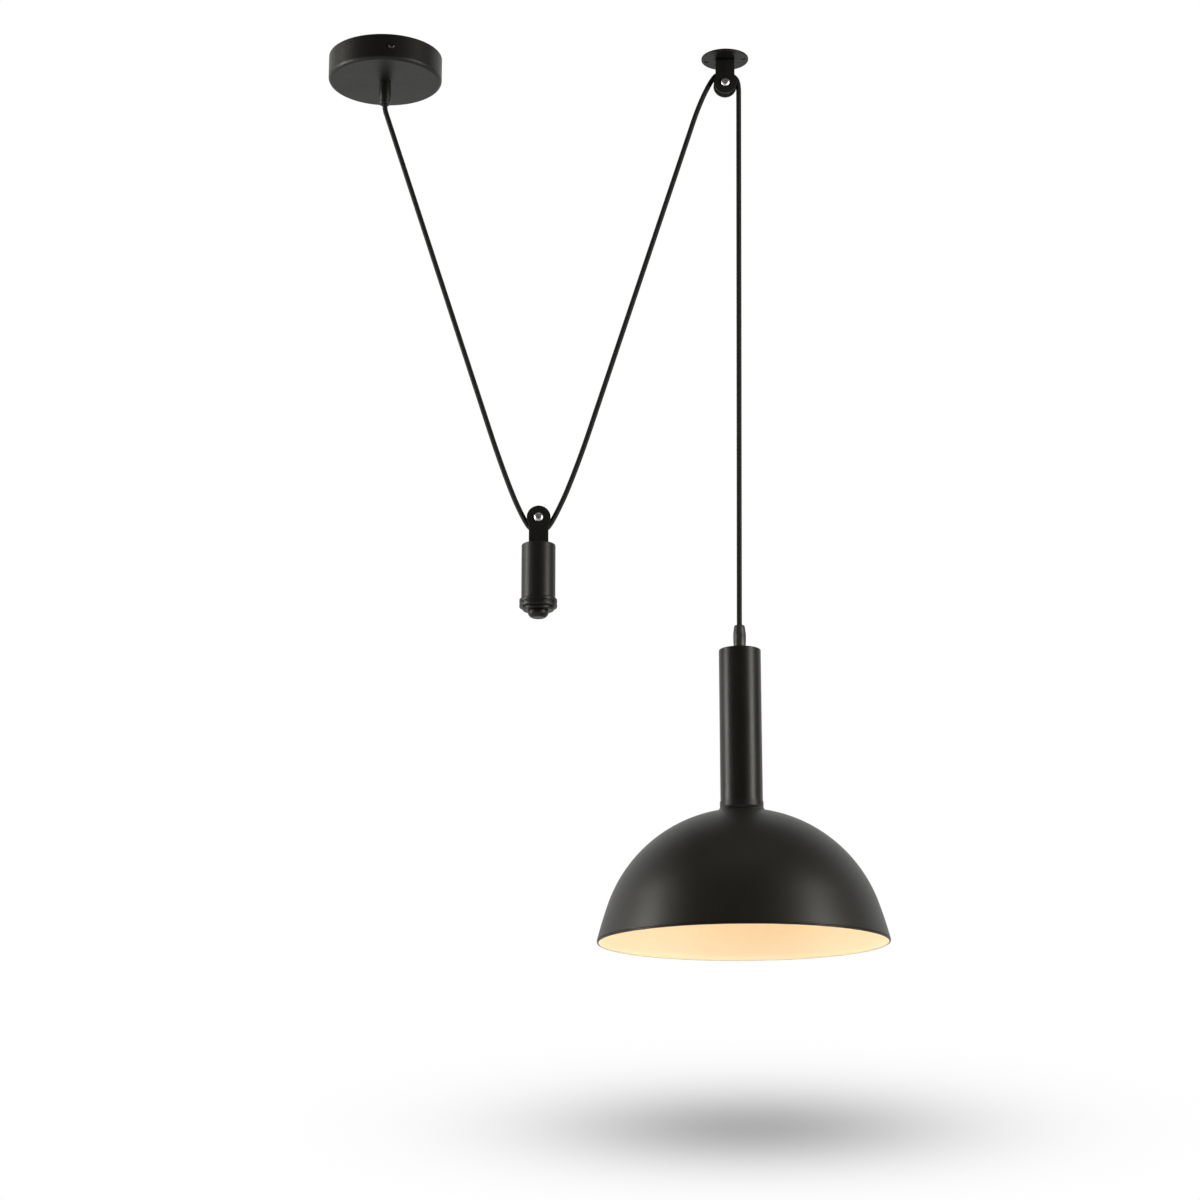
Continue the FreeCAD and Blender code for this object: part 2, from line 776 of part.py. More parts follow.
def make_ceiling_pulley():
    """A flange screwed to the ceiling, a fork riveted under it, and the wheel in the fork."""
    axle = (d.pulley_x, 0, -d.axle_drop)
    radius = d.flange_diameter / 2
    flange = new_body("ceiling_flange", (d.pulley_x, 0, 0), (Z_AXIS, d.flange_turn))
    hole = d.rivet_diameter / 2 + d.axle_fit
    revolve(flange, [
        (hole, -d.flange_thickness),
        (radius - d.flange_edge, -d.flange_thickness),
        (radius, d.flange_edge - d.flange_thickness, d.flange_edge),
        (radius, 0),
        (hole, 0),
    ])
    screw_hole = pocket(flange, "XY_Plane", None, both=True,
                        circles=[(d.flange_hole_circle / 2, 0, d.flange_hole / 2)])
    repeat_round(flange, screw_hole, 2)

    fork("ceiling_fork", axle)
    rivet = new_body("fork_rivet", (d.pulley_x, 0, 0))
    seat = -d.flange_thickness - d.fork_wall
    head = d.fork_gap / 2 - d.rivet_head_gap
    revolve(rivet, [
        (0, seat - d.rivet_head_height),
        (head * 0.5, seat - d.rivet_head_height),
        (head, seat, head),
        (d.rivet_diameter / 2, seat),
        (d.rivet_diameter / 2, 0),
        (0, 0),
    ])
    wheel("ceiling_wheel", axle)
    axle_screw("ceiling_axle_screw", axle, as_size(0))
    axle_nut("ceiling_axle_nut", axle, as_size(0))
    axle_sleeve("ceiling_axle_sleeve", axle, as_size(0))


# ---------------------------------------------------------------------------------------- the counterweight


def make_counterweight():
    """A fork with its wheel on top of a steel bar in a painted sleeve, closed by a collar and a knob."""
    axle = (d.weight_x, 0, d.weight_axle_z)
    play = d.side_play
    fork("weight_fork", axle, (X_AXIS, 180))
    wheel("weight_wheel", axle)
    axle_screw("weight_axle_screw", axle, play)
    axle_nut("weight_axle_nut", axle, play)
    axle_sleeve("weight_axle_sleeve", axle, play)

    top = d.weight_axle_z - d.fork_length
    at_top = (d.weight_x, 0, top)
    radius = d.housing_diameter / 2
    inside = radius - d.housing_wall
    screw = d.axle_diameter / 2
    hole = screw + d.axle_fit
    housing = new_body("weight_housing", at_top)
    revolve(housing, [
        (hole, 0),
        (radius - d.housing_edge, 0),
        (radius, -d.housing_edge, -d.housing_edge),
        (radius, -d.housing_length),
        (inside, -d.housing_length),
        (inside, -d.housing_wall),
        (hole, -d.housing_wall),
    ])

    core = new_body("weight_core", at_top)
    core_radius = inside - d.core_fit
    foot = d.housing_length + d.core_tail
    thread_end = d.fork_screw_length + 1.0
    stud_hole = d.stud_diameter / 2 + d.axle_fit
    revolve(core, [
        (0, -thread_end),
        (hole, -thread_end),
        (hole, -d.housing_wall),
        (core_radius, -d.housing_wall),
        (core_radius, -foot),
        (stud_hole, -foot),
        (stud_hole, d.stud_length - foot),
        (0, d.stud_length - foot),
    ])

    screw_head = d.fork_wall + d.fork_screw_head_height
    head = d.fork_gap / 2 - d.rivet_head_gap
    holder = new_body("weight_fork_screw", at_top)
    revolve(holder, [
        (0, -d.fork_screw_length),
        (screw, -d.fork_screw_length),
        (screw, d.fork_wall),
        (head, d.fork_wall),
        (head, screw_head - 0.8),
        (head - 0.8, screw_head, 0.8),
        (0, screw_head),
    ])

    at_collar = (d.weight_x, 0, top - d.housing_length)
    collar = new_body("weight_collar", at_collar)
    outer = radius + d.collar_overhang
    middle = -d.collar_height / 2
    half_groove = d.collar_groove_width / 2
    revolve(collar, [
        (core_radius + d.core_fit, 0),
        (outer - d.collar_edge, 0),
        (outer, -d.collar_edge, -d.collar_edge),
        (outer, middle + half_groove),
        (outer - d.collar_groove_depth, middle),
        (outer, middle - half_groove),
        (outer, d.collar_edge - d.collar_height),
        (outer - d.collar_edge, -d.collar_height, -d.collar_edge),
        (core_radius + d.core_fit, -d.collar_height),
    ])

    at_cap = (d.weight_x, 0, top - d.housing_length - d.collar_height)
    cap = new_body("weight_end_cap", at_cap)
    cap_radius = outer - d.cap_inset
    revolve(cap, [
        (stud_hole, 0),
        (cap_radius, 0),
        (cap_radius, d.cap_edge - d.cap_thickness),
        (cap_radius - d.cap_edge, -d.cap_thickness, -d.cap_edge),
        (stud_hole, -d.cap_thickness),
    ])

    knob = new_body("weight_knob", at_cap)
    face = -d.cap_thickness
    base = face - d.knob_height
    stud = d.stud_diameter / 2
    revolve(knob, [
        (0, base),
        (d.knob_face_radius, base),
        (d.knob_radius, base + d.knob_taper, 2 * d.knob_taper),
        (d.knob_radius, face),
        (stud, face),
        (stud, d.stud_length - 1.0),
        (0, d.stud_length - 1.0),
    ])


# ------------------------------------------------------------------------------------------------- the lamp


def make_lamp():
    """The tube, the dome shade and the lamp holder that clamps them together on one hollow stem."""
    top = d.lamp_top_z
    cord_grip("lamp_cord_grip", (d.lamp_x, 0, top))
    stem("lamp_stem", (d.lamp_x, 0, top + d.stem_grip_depth - d.stem_length), d.stem_length)
    hexagon_nut("lamp_stem_nut", (d.lamp_x, 0, top - d.tube_top - d.stem_nut_height), d.stem_nut_across,
                d.stem_nut_height, d.stem_diameter / 2 + d.stem_fit)

    radius = d.tube_diameter / 2
    hole = d.stem_diameter / 2 + 0.1
    inside = radius - d.tube_wall
    lamp_tube = new_body("lamp_tube", (d.lamp_x, 0, top))
    revolve(lamp_tube, [
        (hole, 0),
        (radius - d.tube_edge, 0),
        (radius, -d.tube_edge, -d.tube_edge),
        (radius, -d.tube_length),
        (inside, -d.tube_length),
        (inside, -d.tube_top),
        (hole, -d.tube_top),
    ])

    seat_z = top - d.tube_length
    at_seat = (d.lamp_x, 0, seat_z)
    ring = new_body("tube_collar", at_seat)
    bore = radius + d.collar_ring_fit
    rim = bore + d.collar_ring_wall
    foot = d.collar_ring_foot
    revolve(ring, [
        (bore, 0),
        (rim + foot, 0),
        (rim + foot, 0.6),
        (rim, foot + 0.6, -foot),
        (rim, d.collar_ring_height - 0.5),
        (rim - 0.5, d.collar_ring_height),
        (bore, d.collar_ring_height),
    ])
    make_shade(at_seat)
    make_holder(seat_z)


def make_shade(at_seat):
    """The spun dome: a flat seat, a round crown, and a steeper skirt that ends in a cut rim.

    The crown is an arc about a centre on the axis, through the seat's edge and the skirt's start."""
    seat = d.shade_seat_radius
    rim = d.shade_diameter / 2
    wall = d.shade_wall
    start = rim - d.skirt_flare
    start_z = d.skirt_height - d.shade_height
    centre = (start * start - seat * seat + start_z * start_z) / (2 * start_z)
    crown = root(seat * seat + centre * centre)
    inner_share = (crown - wall) / crown
    inner_start_z = centre + (start_z - centre) * inner_share
    inner_seat = root((crown - wall) * (crown - wall) - (centre + wall) * (centre + wall))
    shade = new_body("shade", at_seat)
    revolve(shade, [
        (d.shade_hole_radius, 0),
        (seat, 0),
        (start, start_z, -crown),
        (rim, -d.shade_height, -d.skirt_curve),
        (rim - wall, -d.shade_height),
        (start * inner_share, inner_start_z, d.skirt_curve - wall),
        (inner_seat, -wall, crown - wall),
        (d.shade_hole_radius, -wall),
    ])


def make_holder(seat_z):
    """The lamp holder. Its shoulder presses the shade's seat down on a ring screwed up from below."""
    radius = d.holder_radius
    inside = radius - d.holder_wall
    joint = d.holder_joint
    cap_foot = seat_z + joint
    bore = d.stem_diameter / 2 + d.stem_fit

    cap = new_body("holder_cap", (d.lamp_x, 0, cap_foot))
    height = d.holder_cap_height
    wall = d.holder_wall
    neck_foot = height - d.holder_neck_height
    revolve(cap, [
        (inside, 0),
        (radius, 0),
        (radius, neck_foot - d.holder_dome),
        (radius - d.holder_dome, neck_foot, d.holder_dome),
        (d.holder_neck_radius, neck_foot),
        (d.holder_neck_radius, height),
        (bore, height),
        (bore, neck_foot - wall),
        (inside - d.holder_dome + wall, neck_foot - wall),
        (inside, neck_foot - d.holder_dome, -(d.holder_dome - wall)),
    ])

    skirt = new_body("holder_skirt", (d.lamp_x, 0, seat_z))
    low = joint - d.holder_skirt_length
    revolve(skirt, [
        (inside, low),
        (radius, low),
        (radius, 0),
        (d.holder_shoulder_radius, 0),
        (d.holder_shoulder_radius, d.holder_shoulder_height),
        (radius, d.holder_shoulder_height),
        (radius, joint),
        (inside, joint),
    ])

    insert_foot = cap_foot - d.insert_height + 4.0
    insert = new_body("holder_insert", (d.lamp_x, 0, insert_foot))
    revolve(insert, [
        (0, 0),
        (inside - d.insert_fit, 0),
        (inside - d.insert_fit, d.insert_height),
        (0, d.insert_height),
    ])

    shell = new_body("holder_shell", (d.lamp_x, 0, insert_foot - d.shell_length))
    revolve(shell, rectangle(d.shell_radius - d.shell_wall, 0, d.shell_radius, d.shell_length))
    contact = new_body("holder_contact", (d.lamp_x, 0, insert_foot - d.contact_height))
    revolve(contact, rectangle(0, 0, d.contact_radius, d.contact_height))

    ring = new_body("shade_ring", (d.lamp_x, 0, seat_z - d.shade_wall))
    bore = radius + d.ring_fit
    revolve(ring, [
        (bore, -d.ring_height),
        (bore + d.ring_wall, -d.ring_height),
        (bore + d.ring_wall, -d.ring_flange),
        (d.ring_radius, -d.ring_flange),
        (d.ring_radius, 0),
        (bore, 0),
    ])
    make_lamp_wires(insert_foot + d.insert_height)
    make_bulb(insert_foot - d.contact_height - d.bulb_tip_gap)


def make_lamp_wires(insert_top):
    """The last of the cord, down the stem, and its three wires spread out on to the holder's insert."""
    x = d.lamp_x
    stem_end = d.lamp_top_z + d.stem_grip_depth - d.stem_length
    nose_inside = ROUTE_LAMP_STRETCH[-1][1]
    tail_end = stem_end.value - 2.0
    tube("cord_lamp_tail", [(x.value, 0.0, nose_inside), (x.value, 0.0, tail_end)], d.cord_diameter)
    reach = 8.0
    level = insert_top.value
    for name, angle in (("lamp_live_wire", 210), ("lamp_neutral_wire", 330), ("lamp_earth_wire", 90)):
        way_x = math.cos(math.radians(angle))
        way_y = math.sin(math.radians(angle))
        drop = tail_end - level
        tube(name, [(x.value + 1.5 * way_x, 1.5 * way_y, tail_end),
                    (x.value + 1.5 * way_x, 1.5 * way_y, tail_end - drop * 0.3),
                    (x.value + reach * way_x, reach * way_y, level + drop * 0.3),
                    (x.value + reach * way_x, reach * way_y, level)], d.conductor_diameter)


# ------------------------------------------------------------------------------------------------- the bulb


def make_bulb(tip_top):
    """A round opal bulb: contact tip, screw cap, tapered neck and hollow globe."""
    at_tip = (d.lamp_x, 0, tip_top)
    cap_top = -d.bulb_tip_height
    tip = new_body("bulb_tip", at_tip)
    revolve(tip, [
        (0, cap_top),
        (d.bulb_tip_radius, cap_top),
        (d.bulb_tip_radius * 0.6, 0),
        (0, 0),
    ])
    cap = new_body("bulb_cap", at_tip)
    cap_foot = cap_top - d.bulb_cap_length
    wall = d.bulb_cap_wall
    revolve(cap, [
        (0, cap_top),
        (0, cap_top - wall),
        (d.bulb_cap_radius - wall - 2.0, cap_top - wall),
        (d.bulb_cap_radius - wall, cap_top - wall - 2.0),
        (d.bulb_cap_radius - wall, cap_foot),
        (d.bulb_cap_radius, cap_foot),
        (d.bulb_cap_radius, cap_top - 2.0),
        (d.bulb_cap_radius - 2.0, cap_top),
    ])
    neck = new_body("bulb_neck", at_tip)
    neck_foot = cap_foot - d.bulb_neck_length
    wall = d.bulb_wall
    revolve(neck, [
        (d.bulb_neck_radius - wall, cap_foot, -d.bulb_neck_curve),
        (d.bulb_neck_radius, cap_foot),
        (d.bulb_shoulder_radius, neck_foot, d.bulb_neck_curve),
        (d.bulb_shoulder_radius - wall, neck_foot),
    ])
    globe = new_body("bulb_globe", at_tip)
    big = d.bulb_globe_radius
    edge = d.bulb_shoulder_radius
    centre = neck_foot - root(big * big - edge * edge)
    inner = big - wall
    inner_edge = root(inner * inner - (neck_foot - centre) * (neck_foot - centre))
    revolve(globe, [
        (inner_edge, neck_foot, inner),
        (edge, neck_foot),
        (big, centre, -big),
        (0, centre - big, -big),
        (0, centre - inner),
        (inner, centre, inner),
    ])


# ------------------------------------------------------------------------------------------------- the cord


def make_cord():
    """The free cord, one tube for each stretch, and its tail inside the canopy."""
    tube("cord_canopy_tail", [(0.0, 0.0, -16.0), (0.0, 0.0, ROUTE_CANOPY_STRETCH[0][1])], d.cord_diameter)
    for label, route in (
        ("cord_canopy_stretch", ROUTE_CANOPY_STRETCH),
        ("cord_under_weight_wheel", ROUTE_UNDER_WEIGHT_WHEEL),
        ("cord_rising_stretch", ROUTE_RISING_STRETCH),
        ("cord_over_ceiling_wheel", ROUTE_OVER_CEILING_WHEEL),
        ("cord_lamp_stretch", ROUTE_LAMP_STRETCH),
    ):
        tube(label, flat_route(route), d.cord_diameter)


# --------------------------------------------------------------------------------------------- build, write


def check_document():
    """Stop if any object failed, or any kept sub-part is empty or not valid."""
    for item in doc.Objects:
        if "Invalid" in item.State or "Error" in item.State:
            raise RuntimeError(f"{item.Name} failed: {item.State}")
    for item in sub_parts:
        if item.Shape.isNull() or not item.Shape.isValid() or not item.Shape.Solids:
            raise RuntimeError(f"{item.Label} has no valid solid")


make_canopy()
make_ceiling_pulley()
make_counterweight()
make_lamp()
make_cord()
doc.recompute()
check_document()

os.makedirs("parts", exist_ok=True)
for item in sub_parts:
    item.Shape.exportStep(f"parts/{item.Label}.step")
print(f"{len(sub_parts)} sub-parts written")
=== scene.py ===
# %% [markdown]
# # A rise and fall pendant
#
# This lamp hangs on one cord. The cord leaves a round canopy, runs down and under the wheel of a counterweight,
# up and over a wheel under the ceiling, and down to a tube that carries a dome shade. The CAD model holds every
# piece at its place. Here each gets its finished surface and material, and the picture its light and camera.
#
# Everything is in metres, +Z is up, +X runs from the canopy to the ceiling wheel, and the cord lies in the plane
# of X and Z. Small sizes are easier to read in millimetres, so they are written as a number times MM.

# %% The frame from CAD
import json
import math

import bmesh
import bpy
import numpy as np
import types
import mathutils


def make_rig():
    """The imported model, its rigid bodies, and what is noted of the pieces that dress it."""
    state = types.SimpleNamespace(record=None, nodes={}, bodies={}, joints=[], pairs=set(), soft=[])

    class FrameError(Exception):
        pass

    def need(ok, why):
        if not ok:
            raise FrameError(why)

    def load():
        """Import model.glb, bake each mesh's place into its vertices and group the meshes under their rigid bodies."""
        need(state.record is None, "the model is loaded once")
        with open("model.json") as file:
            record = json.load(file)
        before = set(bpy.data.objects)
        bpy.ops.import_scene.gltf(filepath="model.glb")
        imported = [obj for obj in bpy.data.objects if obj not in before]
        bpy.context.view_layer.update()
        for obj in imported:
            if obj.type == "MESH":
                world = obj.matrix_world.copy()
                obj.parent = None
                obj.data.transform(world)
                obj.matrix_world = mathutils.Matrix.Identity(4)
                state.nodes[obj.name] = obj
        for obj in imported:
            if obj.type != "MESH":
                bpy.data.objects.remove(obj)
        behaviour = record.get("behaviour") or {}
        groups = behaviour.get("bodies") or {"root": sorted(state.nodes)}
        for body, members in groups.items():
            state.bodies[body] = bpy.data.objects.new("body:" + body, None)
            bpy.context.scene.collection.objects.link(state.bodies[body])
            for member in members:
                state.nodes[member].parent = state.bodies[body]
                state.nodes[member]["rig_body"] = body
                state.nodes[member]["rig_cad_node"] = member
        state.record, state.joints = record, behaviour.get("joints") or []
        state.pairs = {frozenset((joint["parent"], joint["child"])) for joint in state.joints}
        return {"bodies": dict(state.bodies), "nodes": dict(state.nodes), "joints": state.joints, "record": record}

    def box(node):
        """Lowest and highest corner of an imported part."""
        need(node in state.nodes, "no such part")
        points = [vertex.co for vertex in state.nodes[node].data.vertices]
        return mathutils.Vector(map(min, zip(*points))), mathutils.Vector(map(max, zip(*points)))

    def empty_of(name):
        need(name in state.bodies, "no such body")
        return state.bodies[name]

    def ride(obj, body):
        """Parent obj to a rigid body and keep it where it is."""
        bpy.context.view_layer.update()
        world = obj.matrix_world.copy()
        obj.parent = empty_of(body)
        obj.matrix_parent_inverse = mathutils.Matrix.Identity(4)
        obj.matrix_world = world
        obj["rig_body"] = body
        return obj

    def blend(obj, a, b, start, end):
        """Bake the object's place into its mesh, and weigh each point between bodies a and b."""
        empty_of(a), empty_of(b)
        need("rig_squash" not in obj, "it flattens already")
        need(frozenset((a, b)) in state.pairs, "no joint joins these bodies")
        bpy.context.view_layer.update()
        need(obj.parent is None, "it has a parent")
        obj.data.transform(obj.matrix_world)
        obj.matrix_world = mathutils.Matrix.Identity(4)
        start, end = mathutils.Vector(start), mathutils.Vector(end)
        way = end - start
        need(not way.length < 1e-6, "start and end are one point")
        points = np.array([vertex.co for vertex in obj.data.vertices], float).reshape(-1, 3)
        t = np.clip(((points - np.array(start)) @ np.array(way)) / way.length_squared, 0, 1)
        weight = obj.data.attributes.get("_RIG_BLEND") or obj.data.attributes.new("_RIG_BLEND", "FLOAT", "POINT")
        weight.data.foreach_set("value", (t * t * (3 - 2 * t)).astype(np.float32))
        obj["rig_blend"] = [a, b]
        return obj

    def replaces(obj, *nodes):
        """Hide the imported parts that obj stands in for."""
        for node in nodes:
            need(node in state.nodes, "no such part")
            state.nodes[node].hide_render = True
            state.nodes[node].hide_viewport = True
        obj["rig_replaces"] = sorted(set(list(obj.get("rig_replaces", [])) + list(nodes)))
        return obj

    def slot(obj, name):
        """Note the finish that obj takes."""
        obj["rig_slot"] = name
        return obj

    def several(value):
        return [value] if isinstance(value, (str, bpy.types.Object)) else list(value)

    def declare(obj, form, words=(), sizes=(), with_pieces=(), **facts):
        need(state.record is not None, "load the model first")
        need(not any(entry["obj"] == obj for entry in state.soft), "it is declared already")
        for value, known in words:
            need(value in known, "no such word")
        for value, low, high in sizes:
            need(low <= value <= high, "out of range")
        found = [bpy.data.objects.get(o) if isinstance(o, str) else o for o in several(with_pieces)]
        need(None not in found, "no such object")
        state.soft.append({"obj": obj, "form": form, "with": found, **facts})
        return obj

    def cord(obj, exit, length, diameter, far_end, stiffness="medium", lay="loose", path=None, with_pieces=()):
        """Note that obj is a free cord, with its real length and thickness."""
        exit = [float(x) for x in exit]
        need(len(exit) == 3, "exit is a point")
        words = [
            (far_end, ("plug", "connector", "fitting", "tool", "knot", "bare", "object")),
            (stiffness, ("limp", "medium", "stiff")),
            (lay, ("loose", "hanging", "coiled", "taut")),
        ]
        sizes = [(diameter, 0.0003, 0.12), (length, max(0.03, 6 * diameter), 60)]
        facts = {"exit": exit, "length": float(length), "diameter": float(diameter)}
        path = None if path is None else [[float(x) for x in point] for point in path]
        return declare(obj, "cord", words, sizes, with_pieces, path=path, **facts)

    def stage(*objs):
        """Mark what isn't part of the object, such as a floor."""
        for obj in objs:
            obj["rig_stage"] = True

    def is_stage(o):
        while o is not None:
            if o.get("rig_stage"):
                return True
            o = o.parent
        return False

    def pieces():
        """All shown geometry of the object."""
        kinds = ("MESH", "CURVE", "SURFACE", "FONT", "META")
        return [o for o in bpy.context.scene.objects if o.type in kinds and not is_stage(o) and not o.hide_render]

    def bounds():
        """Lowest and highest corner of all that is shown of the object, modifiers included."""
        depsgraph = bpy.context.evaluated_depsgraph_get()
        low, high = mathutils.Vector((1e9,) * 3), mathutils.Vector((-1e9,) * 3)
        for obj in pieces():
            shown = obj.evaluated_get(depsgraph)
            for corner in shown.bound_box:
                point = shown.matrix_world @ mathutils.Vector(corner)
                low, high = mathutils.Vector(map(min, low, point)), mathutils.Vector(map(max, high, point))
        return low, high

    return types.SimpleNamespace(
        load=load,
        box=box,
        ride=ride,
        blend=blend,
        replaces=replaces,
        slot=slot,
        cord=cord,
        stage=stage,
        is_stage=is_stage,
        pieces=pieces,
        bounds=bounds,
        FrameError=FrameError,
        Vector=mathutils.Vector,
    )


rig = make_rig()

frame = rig.load()
cad_low, cad_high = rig.bounds()
MM = 0.001
print(f"{len(frame['nodes'])} CAD nodes on {len(frame['bodies'])} bodies")

# %% [markdown]
# ## The camera
#
# The photograph was taken from below, from far off with a long lens, so the canopy and the flange show their
# undersides and the shade's rim is a thin ellipse. The camera looks along +Y, tipped up, from under the rim,
# because the far side of the lit inside is seen over the near edge.

# %% Camera
CAMERA_PLACE = (0.23777, -2.82911, -1.34246)
CAMERA_TIP = 14.33
CAMERA_LENS = 83.1
CAMERA_SENSOR = 36.0

scene = bpy.context.scene
camera = bpy.data.objects.new("camera", bpy.data.cameras.new("camera"))
camera.location = CAMERA_PLACE
camera.rotation_euler = (math.radians(90 + CAMERA_TIP), 0, 0)
camera.data.lens = CAMERA_LENS
camera.data.sensor_width = CAMERA_SENSOR
camera.data.clip_end = 60
scene.collection.objects.link(camera)
scene.camera = camera

# %% [markdown]
# ## The cord's line
#
# A cord is a fixed length of something stiff, pulled straight between the things that hold it. A smooth spline
# with a few control points says just that, where many sampled points would look like bent wire. Each stretch is a
# quadratic NURBS: it starts and ends on its first and last point, runs straight where three points are in line,
# and cuts the corners between in one soft bend. The points are the CAD model's own, and the long straight
# stretches have one more near each end, which holds the bend close to its corner.

# %% Routes of the five stretches, as (x, z) in millimetres
CORD_RADIUS = 2.75 * MM
CORD_STEPS = 64
ROUTES = {
    "cord_canopy_stretch": [(0, -50.5), (0, -60.1), (2.94, -69.24), (112.3, -409.5), (126.9, -455.0),
                            (143.0, -500.0), (152.0, -521.0), (155.7, -528.3)],
    "cord_under_weight_wheel": [(155.7, -528.3), (160.88, -538.52), (166.2, -542.6), (172.7, -544.0),
                                (179.2, -542.6), (184.52, -538.52), (189.7, -528.3)],
    "cord_rising_stretch": [(189.7, -528.3), (194.14, -519.54), (203.6, -498.0), (219.3, -455.0),
                            (233.25, -411.4), (336.4, -88.9), (343.7, -66.0), (352.4, -43.6),
                            (357.5, -33.6)],
    "cord_over_ceiling_wheel": [(357.5, -33.6), (363.11, -22.6), (370.5, -17.9), (379.2, -17.7),
                                (386.9, -21.9), (391.24, -29.5), (391.1, -42.0)],
    "cord_lamp_stretch": [(391.1, -42.0), (390.73, -75.0), (384.53, -629.5), (384.4, -641.0),
                          (384.4, -652.5)],
}


def without_doubles(line, gap):
    """A line without the points that lie no farther than gap from the one before."""
    apart = np.linalg.norm(np.diff(line, axis=0), axis=1) > gap
    return line[np.concatenate([[True], apart])]


def smooth_line(name, points, steps=16):
    """Points along the quadratic NURBS that has these control points, shape (count, 3), in metres. Each stretch
    between two knots gives this many steps."""
    curve = bpy.data.curves.new(name, "CURVE")
    curve.dimensions = "3D"
    curve.resolution_u = steps
    spline = curve.splines.new("NURBS")
    spline.points.add(len(points) - 1)
    spline.points.foreach_set("co", np.column_stack([points, np.ones(len(points))]).ravel())
    spline.order_u = 3
    spline.use_endpoint_u = True
    holder = bpy.data.objects.new(name, curve)
    scene.collection.objects.link(holder)
    mesh = bpy.data.meshes.new_from_object(holder)
    line = np.empty(3 * len(mesh.vertices))
    mesh.vertices.foreach_get("co", line)
    bpy.data.objects.remove(holder)
    bpy.data.curves.remove(curve)
    bpy.data.meshes.remove(mesh)
    return without_doubles(line.reshape(-1, 3), 0.01 * MM)


def length_along(line):
    """How far each point of a line is from its start: the running sum of the steps between points."""
    steps = np.linalg.norm(np.diff(line, axis=0), axis=1)
    return np.concatenate([[0], np.cumsum(steps)])


cord_lines = {
    name: smooth_line(name, np.array([(x, 0, z) for x, z in route]) * MM, CORD_STEPS)
    for name, route in ROUTES.items()
}
for name, line in cord_lines.items():
    print(f"{name}: {length_along(line)[-1] / MM:.0f} mm in {len(line)} points")

# %% [markdown]
# ## Surfaces from grids
#
# Nearly every piece of this lamp was turned, spun, drawn or pressed, so its surface is a function of two numbers:
# how far along a profile, and how far round. Such a surface is a grid of points. The helper joins each square of
# four neighbours with a face and can close the grid on itself in either direction. Doubled points, as on a
# lathe's axis, are merged.

# %% From a grid of points to a piece
SHARP_ANGLE = math.radians(38)


def grid_piece(name, points, close_rows=False, close_columns=False, row_finish=None, uv=None):
    """A mesh piece from points of shape (rows, columns, 3).

    Face (i, j) joins points (i, j), (i, j+1), (i+1, j+1) and (i+1, j). row_finish gives each row of faces its
    material number, and uv gives every corner of the opened-out grid its place on the texture."""
    rows, columns = points.shape[:2]
    index = np.arange(rows * columns).reshape(rows, columns)
    if close_rows:
        index = np.vstack([index, index[:1]])
    if close_columns:
        index = np.hstack([index, index[:, :1]])
    corners = four_corners(index).reshape(-1, 4)
    mesh = bpy.data.meshes.new(name)
    mesh.vertices.add(rows * columns)
    mesh.vertices.foreach_set("co", points.astype(np.float32).ravel())
    mesh.loops.add(corners.size)
    mesh.loops.foreach_set("vertex_index", corners.ravel())
    mesh.polygons.add(len(corners))
    mesh.polygons.foreach_set("loop_start", np.arange(0, corners.size, 4))
    if row_finish is not None:
        mesh.polygons.foreach_set("material_index", np.repeat(row_finish, index.shape[1] - 1))
    if uv is not None:
        layer = mesh.uv_layers.new(name="UVMap")
        layer.uv.foreach_set("vector", four_corners(uv).astype(np.float32).ravel())
    mesh.update(calc_edges=True)
    clean(mesh)
    piece = bpy.data.objects.new(name, mesh)
    scene.collection.objects.link(piece)
    return piece


def four_corners(grid):
    """The values at the four corners of every square of a grid, in order round the square."""
    return np.stack([grid[:-1, :-1], grid[:-1, 1:], grid[1:, 1:], grid[1:, :-1]], axis=2)


def clean(mesh):
    """Merges doubled points, drops faces without area, turns normals outwards and shades smoothly."""
    work = bmesh.new()
    work.from_mesh(mesh)
    bmesh.ops.remove_doubles(work, verts=work.verts, dist=0.002 * MM)
    bmesh.ops.dissolve_degenerate(work, edges=work.edges, dist=0.001 * MM)
    bmesh.ops.recalc_face_normals(work, faces=work.faces)
    work.to_mesh(mesh)
    work.free()
    mesh.shade_smooth()
    mesh.set_sharp_from_angle(angle=SHARP_ANGLE)


# %% [markdown]
# ## Turned pieces
#
# A lathe turns a profile of (radius, height) round an axis. No real edge is perfectly sharp: paint and tools
# leave it round by a few tenths of a millimetre, which catches the light. So a profile is given by its corners,
# each rounded by a short quadratic curve. Two more points just outside the curve keep the flat parts flat when
# the shading is smooth.

# %% Profiles and the lathe


